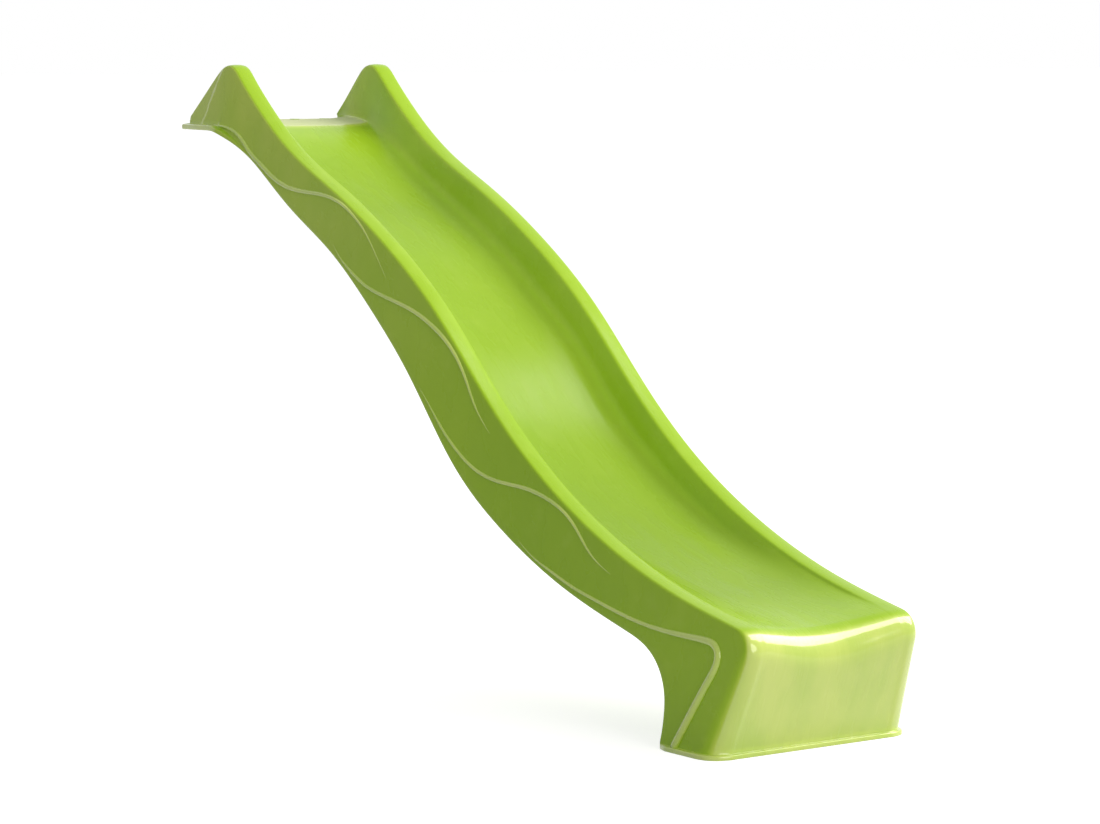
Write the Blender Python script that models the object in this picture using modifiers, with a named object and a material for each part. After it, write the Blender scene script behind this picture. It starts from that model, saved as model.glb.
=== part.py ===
"""Playground slide: a double-walled plastic wave slide whose lip is screwed to a platform.

Metres, Z up, X runs downhill from the lip to the foot, Y across. The ground is Z = 0.
"""
import math

import bmesh
import bpy
import numpy as np

# Overall sizes
SLIDE_LENGTH = 2.503
PLATFORM_HEIGHT = 1.398
RIM_SPREAD = 0.515

# Walls and edges
RIM_WIDTH = 0.055
RIM_ROUNDING = 0.009
RIM_CROWN = 0.0015
WALL_DRAFT = 0.133
DOUBLE_WALL = 0.024
TOP_SKIN = 0.0035
UNDER_SKIN = 0.003
CORNER_ROUNDING = 0.045
FRONT_FLAT = 0.018
FRONT_ROUNDING = 0.058
RUN_OUT_ROUNDING = 0.072
FRONT_LEAN = 0.37
TAIL_TUCK = 0.012

# Flanges round the lip and the foot, and the edge turned under between them
LIP_FLANGE = 0.022
LIP_FLANGE_HEIGHT = 0.015
FOOT_FLANGE = 0.011
FOOT_FLANGE_HEIGHT = 0.012
BACK_FLANGE = 0.006
TURN_UNDER = 0.016
PLAIN_EDGE = 0.012
LIP_FLANGE_FADE = (0.0725, 0.16)
FOOT_CORNER_STYLES = (-1.0, -0.5, 0.0, 0.5, 1.0)
EDGE_ROUNDING = 0.006

# Rails and raised panel of the underside
RAIL_WIDTH = 0.028
PANEL_SLOPE_WIDTH = 0.032
PANEL_EASE_RISE = 0.12
PANEL_EASE_RUN = 0.2
PANEL_FADE = (0.72, 0.84)
FRONT_ROW_SHARES = (1.0, 0.9, 0.86, 0.82, 0.78, 0.0)

# Raised ribs on the side walls
RIB_RADIUS = 0.0055
RIB_FLATNESS = 0.45
RIB_TIP_SCALES = ((0.9, 0.3), (0.3, 0.3), (0.3, 0.3), (0.3, 1.3))
RIB_FADE = 0.3

# Lip fixings
SCREW_ROW_SETBACK = 0.045
SCREW_SPACING = 0.1
SCREW_COUNT = 4
SCREW_RADIUS = 0.003
SCREW_HEAD_RADIUS = 0.006
SCREW_HEAD_HEIGHT = 0.003
SCREW_BITE = 0.036
SCREW_POINT = 0.006
DRIVE_WIDTH = 0.0012
DRIVE_LENGTH = 0.006
DRIVE_DEPTH = 0.002
BUSH_RADIUS = 0.008
BUSH_FLANGE_RADIUS = 0.014
BUSH_FLANGE = 0.0012

# Drain holes in the foot
DRAIN_RADIUS = 0.004
DRAIN_SPACING = 0.3

# Clearances
SEAM = 0.0003
TWIST_PLAY = 0.001
CORNER_LIFT = 0.0003
HOLE_PLAY = 0.0004
CUTTER_REACH = 0.01
WELD_DISTANCE = 0.00001

# Sides of the round pieces and of the small holes
ROUND_SIDES = 20
SMALL_SIDES = 16

# Colours
SHELL_LIME = (0.36, 0.60, 0.05)
UNDERSIDE_LIME = (0.32, 0.55, 0.05)
BUSH_LIME = (0.30, 0.52, 0.05)
STEEL = (0.62, 0.63, 0.62)

# Side outlines, as fractions of the slide's length and of the platform's height
WING_TOP = (
    (0.0024, 1.0283),
    (0.0204, 1.0572),
    (0.0384, 1.0864),
    (0.0565, 1.1155),
    (0.0665, 1.1270),
    (0.0785, 1.1309),
    (0.0885, 1.1255),
    (0.0985, 1.1098),
)
RIM_LINE = (
    (0.1105, 1.0887),
    (0.1245, 1.0658),
    (0.1404, 1.0436),
    (0.1644, 1.0114),
    (0.2283, 0.9449),
    (0.2922, 0.8959),
    (0.3562, 0.8387),
    (0.4201, 0.7715),
    (0.4920, 0.6778),
    (0.5559, 0.5726),
    (0.6199, 0.4778),
    (0.7397, 0.3516),
    (0.8795, 0.2625),
    (0.9794, 0.2250),
)
FLOOR_LINE = (
    (0.0000, 1.0000),
    (0.0326, 1.0000),
    (0.0605, 0.9964),
    (0.0885, 0.9864),
    (0.1205, 0.9635),
    (0.1644, 0.9149),
    (0.2283, 0.8544),
    (0.2922, 0.8004),
    (0.3562, 0.7411),
    (0.4201, 0.6674),
    (0.4920, 0.5783),
    (0.5559, 0.4682),
    (0.6199, 0.3891),
    (0.6998, 0.3129),
    (0.7397, 0.2858),
    (0.8356, 0.2361),
    (0.9195, 0.2053),
    (0.9674, 0.1924),
)
LOWER_LINE = (
    (0.0605, 1.0000),
    (0.0805, 0.9961),
    (0.1045, 0.9764),
    (0.1404, 0.9390),
    (0.2123, 0.8574),
    (0.2922, 0.7851),
    (0.3801, 0.6755),
    (0.4600, 0.5535),
    (0.5319, 0.4190),
    (0.6039, 0.3277),
    (0.6998, 0.2454),
    (0.8196, 0.1813),
)
FOOT_BACK = (
    (0.8376, 0.1727),
    (0.8536, 0.1602),
    (0.8668, 0.1431),
    (0.8768, 0.1216),
    (0.8833, 0.0987),
    (0.8867, 0.0744),
    (0.8873, 0.0479),
    (0.8867, 0.0215),
    (0.8867, 0.0000),
)

# Stations down the slide: where each section meets the rim and the lower edge
WING_LOWER = (0.0024, 0.0054, 0.0110, 0.0192, 0.0308, 0.0406, 0.0505, 0.0613)
CREASE_STATION = 4
CHUTE_START = 0.1105
CHUTE_END = 0.8356
CHUTE_STATIONS = 23
SECTION_LEAN = (
    (0.1105, 0.0380),
    (0.1404, 0.0370),
    (0.1764, 0.0350),
    (0.3000, 0.0300),
    (0.4200, 0.0360),
    (0.5200, 0.0480),
    (0.6200, 0.0360),
    (0.7400, 0.0200),
    (0.8356, 0.0160),
)
FOOT_RIM = (0.8616, 0.8855, 0.9075, 0.9255, 0.9395, 0.9515, 0.9614, 0.9694, 0.9754)
FRONT_STEPS = 5
RUN_OUT_END = 0.96
SLOPE_REACH = 0.005
FOOT_BASE = (0.8935, 0.8995, 0.9055, 0.9115, 0.9163, 0.9211, 0.9251, 0.9287, 0.9323, 0.9355)
WALL_STEPS = 4

# Points of a section before its outer rounding, and the turns of that rounding in degrees
SIDE_POINTS = 2
ROUNDING_TURNS = (0, 30, 60, 90)

# Trough sections: share of the depth, then shares of the rim spread in from the wall at lip, chute, exit and front
TROUGH_ROWS = (
    (0.42, -0.0039, 0.0262, 0.0359, 0.0850),
    (0.62, -0.0058, 0.0379, 0.0942, 0.1450),
    (0.80, -0.0078, 0.0612, 0.1718, 0.2100),
    (0.93, -0.0058, 0.0981, 0.2592, 0.2800),
    (1.00, 0.0262, 0.1524, 0.3369, 0.3450),
)
LIP_BLEND = (0.07, 0.15)
EXIT_BLEND = (0.72, 0.94)
FRONT_BLEND = (0.90, 0.975)
FRONT_EASE = 0.85

# Ribs on the side walls, as fractions of the slide's length and of the platform's height
RIBS = (
    (
        (0.0485, 1.0096),
        (0.0625, 1.0100),
        (0.0770, 1.0090),
        (0.1123, 0.9900),
        (0.1326, 0.9621),
        (0.1546, 0.9392),
        (0.1766, 0.9177),
        (0.2078, 0.8984),
        (0.2373, 0.8920),
        (0.2777, 0.8870),
        (0.3080, 0.8734),
        (0.3292, 0.8548),
        (0.3512, 0.8283),
        (0.3783, 0.7804),
        (0.3987, 0.7411),
    ),
    (
        (0.3000, 0.7976),
        (0.3148, 0.7740),
        (0.3348, 0.7518),
        (0.3612, 0.7282),
        (0.3903, 0.7124),
        (0.4523, 0.6853),
        (0.4814, 0.6638),
        (0.5058, 0.6381),
        (0.5274, 0.6044),
        (0.5441, 0.5665),
        (0.5597, 0.5272),
        (0.5853, 0.4828),
    ),
    (
        (0.4710, 0.5508),
        (0.4906, 0.5193),
        (0.5130, 0.4821),
        (0.5378, 0.4478),
        (0.5689, 0.4170),
        (0.5989, 0.4027),
        (0.6496, 0.3956),
        (0.6840, 0.3827),
        (0.7136, 0.3612),
        (0.7323, 0.3369),
        (0.7539, 0.3033),
        (0.7886, 0.2725),
    ),
    (
        (0.6440, 0.3054),
        (0.6684, 0.2804),
        (0.7008, 0.2589),
        (0.7315, 0.2411),
        (0.7675, 0.2260),
        (0.8082, 0.2110),
        (0.8450, 0.2010),
        (0.8817, 0.1965),
        (0.9177, 0.1958),
        (0.9381, 0.1950),
        (0.9521, 0.1881),
        (0.9565, 0.1760),
        (0.9561, 0.1609),
        (0.9485, 0.1338),
        (0.9353, 0.0937),
        (0.9213, 0.0494),
        (0.9113, 0.0173),
    ),
)

# Worked out from the sizes above
BACK = -SLIDE_LENGTH / 2
FRONT = SLIDE_LENGTH / 2
HALF_RIM = RIM_SPREAD / 2
DECK = PLATFORM_HEIGHT + DOUBLE_WALL


def along(fraction):
    """X of a fraction of the slide's length."""
    return BACK + fraction * SLIDE_LENGTH


def level(fraction):
    """Z of a fraction of the platform's height."""
    return fraction * PLATFORM_HEIGHT


def natural_spline(knots, values, wanted):
    """A smooth line through the knots, with no bend at its ends."""
    knots = np.asarray(knots, float)
    values = np.asarray(values, float)
    wanted = np.atleast_1d(np.asarray(wanted, float))
    count = len(knots)
    gaps = np.diff(knots)
    matrix = np.eye(count)
    right = np.zeros(count)
    for i in range(1, count - 1):
        matrix[i, i - 1 : i + 2] = (gaps[i - 1], 2 * (gaps[i - 1] + gaps[i]), gaps[i])
        rise = (values[i + 1] - values[i]) / gaps[i] - (values[i] - values[i - 1]) / gaps[i - 1]
        right[i] = 6 * rise
    bends = np.linalg.solve(matrix, right)
    cell = np.clip(np.searchsorted(knots, wanted) - 1, 0, count - 2)
    step = gaps[cell]
    near = wanted - knots[cell]
    far = knots[cell + 1] - wanted
    curve = (bends[cell] * far**3 + bends[cell + 1] * near**3) / (6 * step)
    start = (values[cell] / step - bends[cell] * step / 6) * far
    end = (values[cell + 1] / step - bends[cell + 1] * step / 6) * near
    return curve + start + end


def outline(points, x):
    """Z of a fractional outline at X."""
    knots = [along(f) for f, _ in points]
    values = [level(w) for _, w in points]
    return natural_spline(knots, values, x)


def rim_z(x):
    """Height of the rim over the chute and the foot."""
    return float(outline(RIM_LINE, x)[0])


def floor_z(x):
    """Height of the trough's floor on the centre line."""
    return min(float(outline(FLOOR_LINE, x)[0]) + DOUBLE_WALL, DECK)


def lower_z(x):
    """Height of the lower edge of the side walls."""
    if x < along(LOWER_LINE[0][0]):
        return PLATFORM_HEIGHT
    return min(float(outline(LOWER_LINE, x)[0]), PLATFORM_HEIGHT)


def tail_tuck(x, z):
    """How far the side wall turns inward behind the crease of the wing."""
    foot = np.array([along(WING_LOWER[CREASE_STATION]), PLATFORM_HEIGHT])
    head = np.array([along(WING_TOP[CREASE_STATION][0]), level(WING_TOP[CREASE_STATION][1])])
    heading = (head - foot) / np.linalg.norm(head - foot)
    back = np.array([-heading[1], heading[0]])
    full = back[0] * (along(WING_LOWER[0]) - foot[0])
    behind = back @ (np.array([x, z]) - foot)
    return TAIL_TUCK * max(behind / full, 0.0)


def wall_y(x, z):
    """Half width of the outside of the side walls, which widen downwards."""
    peak = max(range(len(WING_TOP)), key=lambda i: WING_TOP[i][1])
    falling_x = [along(f) for f, _ in WING_TOP[peak:]] + [along(CHUTE_START)]
    falling_z = [level(w) for _, w in WING_TOP[peak:]] + [rim_z(along(CHUTE_START))]
    rim = rim_z(x) if x > falling_x[-1] else float(np.interp(x, falling_x, falling_z))
    return HALF_RIM + WALL_DRAFT * (rim - z) - tail_tuck(x, z)


def smoothstep(low, high, value):
    """A soft step from 0 at low to 1 at high."""
    t = min(max((value - low) / (high - low), 0.0), 1.0)
    return t * t * (3 - 2 * t)


def front_arc(top, slope, front_normal, front_offset, radius):
    """Centre of the rounding between a top line and the front wall."""
    tilt = math.atan(-slope)
    low = 0.0
    high = FRONT
    for _ in range(60):
        x = (low + high) / 2
        centre = np.array([x - radius * math.sin(tilt), top(x) - radius * math.cos(tilt)])
        if front_normal @ centre > front_offset - radius:
            high = x
        else:
            low = x
    return centre, tilt


def slope_at(line, x):
    """Slope of a line at X."""
    return (line(x + SLOPE_REACH) - line(x - SLOPE_REACH)) / (2 * SLOPE_REACH)


def front_profiles():
    """Rim and floor points over the foot's front: rounding, then the leaning wall."""
    lean = math.atan(FRONT_LEAN)
    normal = np.array([math.cos(lean), -math.sin(lean)])
    rim_tilt = math.atan(-slope_at(rim_z, FRONT - FRONT_ROUNDING))
    rim_x = FRONT - FRONT_ROUNDING - RIM_CROWN
    tangent_x = rim_x + FRONT_ROUNDING * math.sin(rim_tilt)
    rim_centre = np.array([rim_x, rim_z(tangent_x) - FRONT_ROUNDING * math.cos(rim_tilt)])
    offset = normal @ rim_centre + FRONT_ROUNDING
    floor_slope = slope_at(floor_z, along(RUN_OUT_END))
    floor_centre, floor_tilt = front_arc(floor_z, floor_slope, normal, offset, RUN_OUT_ROUNDING)
    last = math.pi / 2 + lean
    rims = []
    floors = []
    normals = []
    for step in range(FRONT_STEPS + 1):
        share = step / FRONT_STEPS
        a = rim_tilt + share * (last - rim_tilt)
        b = floor_tilt + share * (last - floor_tilt)
        rims.append(rim_centre + FRONT_ROUNDING * np.array([math.sin(a), math.cos(a)]))
        floors.append(floor_centre + RUN_OUT_ROUNDING * np.array([math.sin(b), math.cos(b)]))
        normals.append(np.array([math.sin(a), math.cos(a)]))
    rim_end = rims[-1]
    floor_end = floors[-1]
    for step in range(1, WALL_STEPS + 1):
        share = step / WALL_STEPS
        foot_point = rim_end + np.array([FRONT_LEAN, 1.0]) * (FOOT_FLANGE_HEIGHT - rim_end[1])
        rims.append(rim_end + share * (foot_point - rim_end))
        floors.append(floor_end + share * (foot_point - floor_end))
        turned = normal * (1 - share) + np.array([1.0, 0.0]) * share
        normals.append(turned / np.linalg.norm(turned))
    return rims, floors, normals


def stations():
    """Rim, floor and lower points of every section, with their directions."""
    rims = [np.array([along(f), level(w)]) for f, w in WING_TOP]
    lowers = [np.array([along(f), PLATFORM_HEIGHT]) for f in WING_LOWER]
    lean_at = [f for f, _ in SECTION_LEAN]
    lean = [s for _, s in SECTION_LEAN]
    for f in np.linspace(CHUTE_START, CHUTE_END, CHUTE_STATIONS):
        rims.append(np.array([along(f), rim_z(along(f))]))
        low = along(f - float(np.interp(f, lean_at, lean)))
        lowers.append(np.array([low, lower_z(low)]))
    for f, back in zip(FOOT_RIM, FOOT_BACK):
        rims.append(np.array([along(f), rim_z(along(f))]))
        lowers.append(np.array([along(back[0]), level(back[1])]))
    floors = [floor_on_line(rim, low) for rim, low in zip(rims, lowers)]
    normals = path_normals(rims)
    normals[0] = np.array([0.0, 1.0])
    front_rims, front_floors, front_normals = front_profiles()
    for rim, floor, normal, f in zip(front_rims, front_floors, front_normals, FOOT_BASE):
        rims.append(rim)
        floors.append(floor)
        normals.append(normal)
        lowers.append(np.array([along(f), 0.0]))
    downs = [-n for n in path_normals(lowers)]
    corner = len(WING_TOP) + CHUTE_STATIONS + len(FOOT_BACK) - 1
    lowers[corner] = np.array([lowers[corner][0], CORNER_LIFT])
    downs[corner] = np.array([0.0, -1.0])
    downs[corner - 1] = (downs[corner - 2] + downs[corner]) / math.sqrt(2)
    return rims, floors, lowers, normals, downs, corner


def floor_on_line(rim, low):
    """Where the straight line from the rim to the lower edge crosses the floor."""
    previous = 0.0
    for t in np.linspace(0.0, 1.0, 201):
        point = rim + t * (low - rim)
        if point[1] <= floor_z(point[0]):
            break
        previous = t
    start = rim + previous * (low - rim)
    return np.array([start[0], floor_z(start[0])])


def path_normals(points):
    """Unit normals of a path in the side view, a quarter turn left of its heading."""
    result = []
    for i, _ in enumerate(points):
        ahead = points[min(i + 1, len(points) - 1)]
        behind = points[max(i - 1, 0)]
        heading = (ahead - behind) / np.linalg.norm(ahead - behind)
        result.append(np.array([-heading[1], heading[0]]))
    return result


def edge_styles(count, foot_corner):
    """Flange (1), plain (0) or turned-under (-1) edge at each station, and its reach and height."""
    lip_end, turned = (along(f) for f in LIP_FLANGE_FADE)
    styles = []
    for k in range(count):
        if k >= foot_corner - len(FOOT_CORNER_STYLES) // 2:
            place = k - foot_corner + len(FOOT_CORNER_STYLES) // 2
            style = FOOT_CORNER_STYLES[place] if place < len(FOOT_CORNER_STYLES) else 1.0
            styles.append((style, FOOT_FLANGE, FOOT_FLANGE_HEIGHT))
        else:
            share = min(max((LOWERS[k][0] - lip_end) / (turned - lip_end), 0.0), 1.0)
            styles.append((1.0 - 2.0 * share, LIP_FLANGE, LIP_FLANGE_HEIGHT))
    return styles


def flange_profile(reach, height):
    """How far out and how high each row of a flange lies."""
    turn = min(EDGE_ROUNDING / 2, reach)
    return ((0.0, height), (reach - turn, height), (reach, height - turn), (reach, 0.0))


def edge_profile(style, reach, height):
    """How far out and how high each row of the wall's edge lies, for any style."""
    tall = PLAIN_EDGE
    plain = ((0.0, tall), (0.0, tall * 2 / 3), (0.0, tall / 3), (0.0, 0.0))
    under = (
        (0.0, EDGE_ROUNDING),
        (-EDGE_ROUNDING / 3, EDGE_ROUNDING / 4),
        (-EDGE_ROUNDING, 0.0),
        (-TURN_UNDER, 0.0),
    )
    other = flange_profile(reach, height) if style > 0 else under
    mix = abs(style)
    return [
        (a[0] * (1 - mix) + b[0] * mix, a[1] * (1 - mix) + b[1] * mix) for a, b in zip(plain, other)
    ]


def point3(xz, y):
    """A point of the model from its side-view point and Y."""
    return (float(xz[0]), float(y), float(xz[1]))


def rounding_at(k):
    """Radius of the outer edge of the rim, which grows down the foot's front corner."""
    first = len(RIMS) - (FRONT_STEPS + 1) - WALL_STEPS
    share = min(max((k - first) / (len(RIMS) - 1 - first), 0.0), 1.0)
    return RIM_ROUNDING + share * (CORNER_ROUNDING - RIM_ROUNDING)


def front_share(k):
    """How far a section has turned into the foot's front, from 0 in the chute to 1."""
    if k >= len(RIMS) - (FRONT_STEPS + 1) - WALL_STEPS:
        return 1.0
    return smoothstep(*FRONT_BLEND, (FLOORS[k][0] - BACK) / SLIDE_LENGTH)


def section(k):
    """Half a section of the top skin, from the end of the side wall to the centre line."""
    rim = RIMS[k]
    floor = FLOORS[k]
    low = LOWERS[k]
    normal = NORMALS[k]
    radius = rounding_at(k)
    wall_end = low - DOWNS[k] * edge_profile(*STYLES[k])[0][1]
    side = rim - normal * radius
    outer = wall_y(*side)
    flat = max(RIM_WIDTH - radius - RIM_ROUNDING, FRONT_FLAT)
    inner = outer - radius - flat - RIM_ROUNDING
    depth = float(np.linalg.norm(floor - rim))
    front = front_share(k)
    inner_drop = RIM_ROUNDING * min(1.0, depth / (4 * RIM_ROUNDING)) * (1 - FRONT_EASE * front)
    mid = (side + wall_end) / 2
    points = [point3(wall_end, wall_y(*wall_end)), point3(mid, wall_y(*mid))]
    for turn in ROUNDING_TURNS:
        a = math.radians(turn)
        spot = rim - normal * radius * (1 - math.sin(a))
        points.append(point3(spot, outer - radius * (1 - math.cos(a))))
    middle = (outer - radius + inner + RIM_ROUNDING) / 2
    points.append(point3(rim + normal * RIM_CROWN, middle))
    for turn in (90, 45, 0):
        a = math.radians(turn)
        spot = rim - normal * inner_drop * (1 - math.sin(a))
        points.append(point3(spot, inner + RIM_ROUNDING * (1 - math.cos(a))))
    f = (floor[0] - BACK) / SLIDE_LENGTH
    lip = 1 - smoothstep(*LIP_BLEND, f)
    leave = smoothstep(*EXIT_BLEND, f)
    for share, at_lip, at_chute, at_exit, at_front in TROUGH_ROWS:
        spot = rim + share * (floor - rim)
        away = at_lip * lip + (1 - lip) * (at_chute * (1 - leave) + at_exit * leave)
        away = away * (1 - front) + at_front * front
        points.append(point3(spot, inner - away * RIM_SPREAD))
    points.append(point3(floor, 0.0))
    return points


def new_object(name, mesh, material, collection):
    """An object of its own, with its material, in the given collection."""
    thing = bpy.data.objects.new(name, mesh)
    collection.objects.link(thing)
    if material is not None:
        mesh.materials.append(material)
    return thing


def add_modifier(thing, kind, **settings):
    """A modifier with its settings."""
    modifier = thing.modifiers.new(kind.title(), kind)
    for key, value in settings.items():
        setattr(modifier, key, value)
    return modifier


def sheet_mesh(name, vertices, faces):
    """A smooth-shaded mesh from corners and faces wound to look outward."""
    mesh = bpy.data.meshes.new(name)
    work = bmesh.new()
    made = [work.verts.new(v) for v in vertices]
    for face in faces:
        work.faces.new([made[i] for i in face]).smooth = True
    work.to_mesh(mesh)
    work.free()
    return mesh


def lofted(half_rows):
    """Half rows mirrored across the centre line, and the faces between them, looking up."""
    full = [row + [(x, -y, z) for x, y, z in reversed(row[:-1])] for row in half_rows]
    width = len(full[0])
    faces = []
    for k in range(len(full) - 1):
        for i in range(width - 1):
            a = k * width + i
            faces.append((a, a + 1, a + width + 1, a + width))
    return full, faces


def top_skin_mesh():
    """The sheet of the top skin: a loft between unlike sections, with its edge all round."""
    full, faces = lofted([section(k) for k in range(len(RIMS))])
    width = len(full[0])
    vertices = [p for row in full for p in row]
    deck_edge = len(full[0]) // 2 - 1
    tail = range(deck_edge + 1)
    faces.append(tuple(reversed(tail)))
    faces.append(tuple(width - 1 - i for i in tail))
    ring = top_ring(len(full), width, deck_edge)
    add_edge_strip(vertices, faces, ring)
    return sheet_mesh("chute_shell", vertices, faces)


def top_ring(count, width, deck_edge):
    """The sheet's boundary in order: each vertex with its down direction and its edge rows."""
    last = count - 1
    half = (width - 1) // 2
    down = np.array([0.0, -1.0])

    def side_entry(k, hand):
        index = k * width + (0 if hand > 0 else width - 1)
        back = flange_profile(BACK_FLANGE, LIP_FLANGE_HEIGHT) if k == 0 else [(0.0, 0.0)] * 4
        rows = [(-b[0], hand * r[0], r[1]) for b, r in zip(back, edge_profile(*STYLES[k]))]
        return (index, DOWNS[k], rows)

    ring = [side_entry(k, 1.0) for k in range(last)]
    for i in range(width):
        hand = 1.0 if i <= half else -1.0
        span = (min(i, width - 1 - i) - SIDE_POINTS) / (len(ROUNDING_TURNS) - 1)
        turn = math.radians(ROUNDING_TURNS[-1] * min(max(span, 0.0), 1.0))
        profile = flange_profile(FOOT_FLANGE, FOOT_FLANGE_HEIGHT)
        rows = [(out * math.sin(turn), hand * out * math.cos(turn), up) for out, up in profile]
        ring.append((last * width + i, down, rows))
    ring.extend(side_entry(k, -1.0) for k in reversed(range(last)))
    back_rows = [(-out, 0.0, up) for out, up in flange_profile(BACK_FLANGE, DOUBLE_WALL)]
    for i in (width - 1 - deck_edge, half, deck_edge):
        ring.append((i, down, back_rows))
    return ring


def add_edge_strip(vertices, faces, ring):
    """Three more rows of faces all round the sheet: flange, plain end or turned-under edge."""
    previous = [index for index, _, _ in ring]
    starts = [np.array(vertices[index]) for index in previous]
    for row in range(1, 4):
        current = []
        for start, (_, down, rows) in zip(starts, ring):
            drop = rows[0][2] - rows[row][2]
            point = start + np.array([down[0] * drop, 0.0, down[1] * drop])
            point = point + np.array([rows[row][0], rows[row][1], 0.0])
            current.append(len(vertices))
            vertices.append(tuple(float(v) for v in point))
        for i, _ in enumerate(ring):
            j = (i + 1) % len(ring)
            faces.append((previous[i], previous[j], current[j], current[i]))
        previous = current


def under_edge_y(k):
    """Half width of the underside skin at a station, just inside the top skin's edge."""
    profile = edge_profile(*STYLES[k])
    wall_end = LOWERS[k] - DOWNS[k] * profile[0][1]
    out, up = np.subtract(profile[-1], profile[-2])
    inset = TOP_SKIN * abs(up) / math.hypot(out, up)
    twist = abs(STYLES[k + 1][0] - STYLES[max(k - 1, 0)][0])
    return wall_y(*wall_end) + profile[-1][0] - inset - SEAM - TWIST_PLAY * twist


def under_skin_mesh(foot_corner):
    """The sheet of the underside skin: rails, raised panel, foot back and foot base."""
    rows = []
    count = len(LOWERS)
    fade_start, fade_end = (along(f) for f in PANEL_FADE)
    for k in range(count - 1):
        low = LOWERS[k]
        edge = under_edge_y(k)
        panel = low
        if k < foot_corner:
            normal = path_normals(FLOORS)[k]
            raised = FLOORS[k] - normal * DOUBLE_WALL
            keep = 1 - smoothstep(fade_start, fade_end, low[0])
            panel = low + keep * (raised - low)
        if low[0] < along(WING_LOWER[-1]):
            panel = low
        if k == 0:
            low = np.array([LOWERS[0][0] - BACK_FLANGE + TOP_SKIN + SEAM, PLATFORM_HEIGHT])
            panel = low
        if k == foot_corner:
            low = np.array([low[0], 0.0])
            panel = low
        rail = edge - RAIL_WIDTH
        slope_end = rail - PANEL_SLOPE_WIDTH
        ease = PANEL_EASE_RUN * PANEL_SLOPE_WIDTH
        rows.append(
            [
                point3(low, edge),
                point3(low, rail),
                point3(low + PANEL_EASE_RISE * (panel - low), rail - ease),
                point3(panel - PANEL_EASE_RISE * (panel - low), slope_end + ease),
                point3(panel, slope_end),
                point3(panel, 0.0),
            ]
        )
    rows.extend(under_front_rows())
    full, faces = lofted(rows)
    outward = [tuple(reversed(face)) for face in faces]
    return sheet_mesh("underside_skin", [p for row in full for p in row], outward)


def under_front_rows():
    """Rows of the underside skin that follow the rounded front corners of the foot."""
    wall_x = RIMS[-1][0]
    flange_end = wall_y(*RIMS[-1])
    centre_x = wall_x - CORNER_ROUNDING
    centre_y = flange_end - CORNER_ROUNDING
    radius = CORNER_ROUNDING + FOOT_FLANGE - TOP_SKIN - SEAM
    rows = []
    for turn in ROUNDING_TURNS:
        a = math.radians(turn)
        x = centre_x + radius * math.sin(a)
        y = centre_y + radius * math.cos(a)
        rows.append([(x, y * share, 0.0) for share in FRONT_ROW_SHARES])
    return rows


def rib_object(name, points, tips, hand, collection):
    """One raised rib: a bevelled curve, flattened and laid on the side wall."""
    flat = np.array([(along(f), level(w)) for f, w in points])
    steps = np.linalg.norm(np.diff(flat, axis=0), axis=1)
    run = np.concatenate([[0.0], np.cumsum(steps)])
    between = (run[:-1] + run[1:]) / 2
    wanted = np.sort(np.concatenate([run, between]))
    xs = natural_spline(run, flat[:, 0], wanted)
    zs = natural_spline(run, flat[:, 1], wanted)
    curve = bpy.data.curves.new(name, "CURVE")
    curve.dimensions = "3D"
    curve.bevel_depth = RIB_RADIUS
    curve.bevel_resolution = 1
    curve.use_fill_caps = True
    spline = curve.splines.new("POLY")
    spline.points.add(len(wanted) - 1)
    for i, point in enumerate(spline.points):
        share = wanted[i] / run[-1]
        point.co = (float(xs[i]), 0.0, float(zs[i]), 1.0)
        point.radius = float(np.interp(share, (0.0, RIB_FADE, 1 - RIB_FADE, 1.0), (tips[0], 1, 1, tips[1])))
    holder = bpy.data.objects.new(name + "_curve", curve)
    mesh = bpy.data.meshes.new_from_object(holder)
    bpy.data.objects.remove(holder)
    work = bmesh.new()
    work.from_mesh(mesh)
    bmesh.ops.remove_doubles(work, verts=work.verts[:], dist=WELD_DISTANCE)
    for vertex in work.verts:
        x, y, z = vertex.co
        vertex.co.y = hand * (wall_y(x, z) + y * RIB_FLATNESS)
    bmesh.ops.recalc_face_normals(work, faces=work.faces[:])
    work.to_mesh(mesh)
    work.free()
    return new_object(name, mesh, None, collection)


def cylinder_cutter(name, radius, level_z, sides, x, y, collection):
    """An upright cylinder that cuts a round hole through the skin at a level."""
    mesh = bpy.data.meshes.new(name)
    work = bmesh.new()
    bmesh.ops.create_cone(
        work, cap_ends=True, segments=sides, radius1=radius, radius2=radius, depth=2 * CUTTER_REACH
    )
    work.to_mesh(mesh)
    work.free()
    cutter = new_object(name, mesh, None, collection)
    cutter.location = (x, y, level_z)


def turned_object(name, profile, closed, x, y, material, collection):
    """A turned piece: its half profile swept once round an upright axis."""
    mesh = bpy.data.meshes.new(name)
    edges = [(i, i + 1) for i in range(len(profile) - 1)]
    if closed:
        edges.append((len(profile) - 1, 0))
    mesh.from_pydata([(r, 0.0, z) for r, z in profile], edges, [])
    thing = new_object(name, mesh, material, collection)
    add_modifier(
        thing,
        "SCREW",
        axis="Z",
        steps=ROUND_SIDES,
        render_steps=ROUND_SIDES,
        use_merge_vertices=True,
        merge_threshold=WELD_DISTANCE,
        use_normal_calculate=True,
        use_smooth_shade=False,
    )
    thing.location = (x, y, 0.0)
    return thing


def plastic(name, colour, roughness):
    """A plastic or metal material from its colour and roughness."""
    material = bpy.data.materials.new(name)
    material.use_nodes = True
    shader = material.node_tree.nodes["Principled BSDF"]
    shader.inputs["Base Color"].default_value = (*colour, 1.0)
    shader.inputs["Roughness"].default_value = roughness
    return material


def metal(name, colour, roughness):
    """The same with a metallic surface."""
    material = plastic(name, colour, roughness)
    material.node_tree.nodes["Principled BSDF"].inputs["Metallic"].default_value = 1.0
    return material


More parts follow.
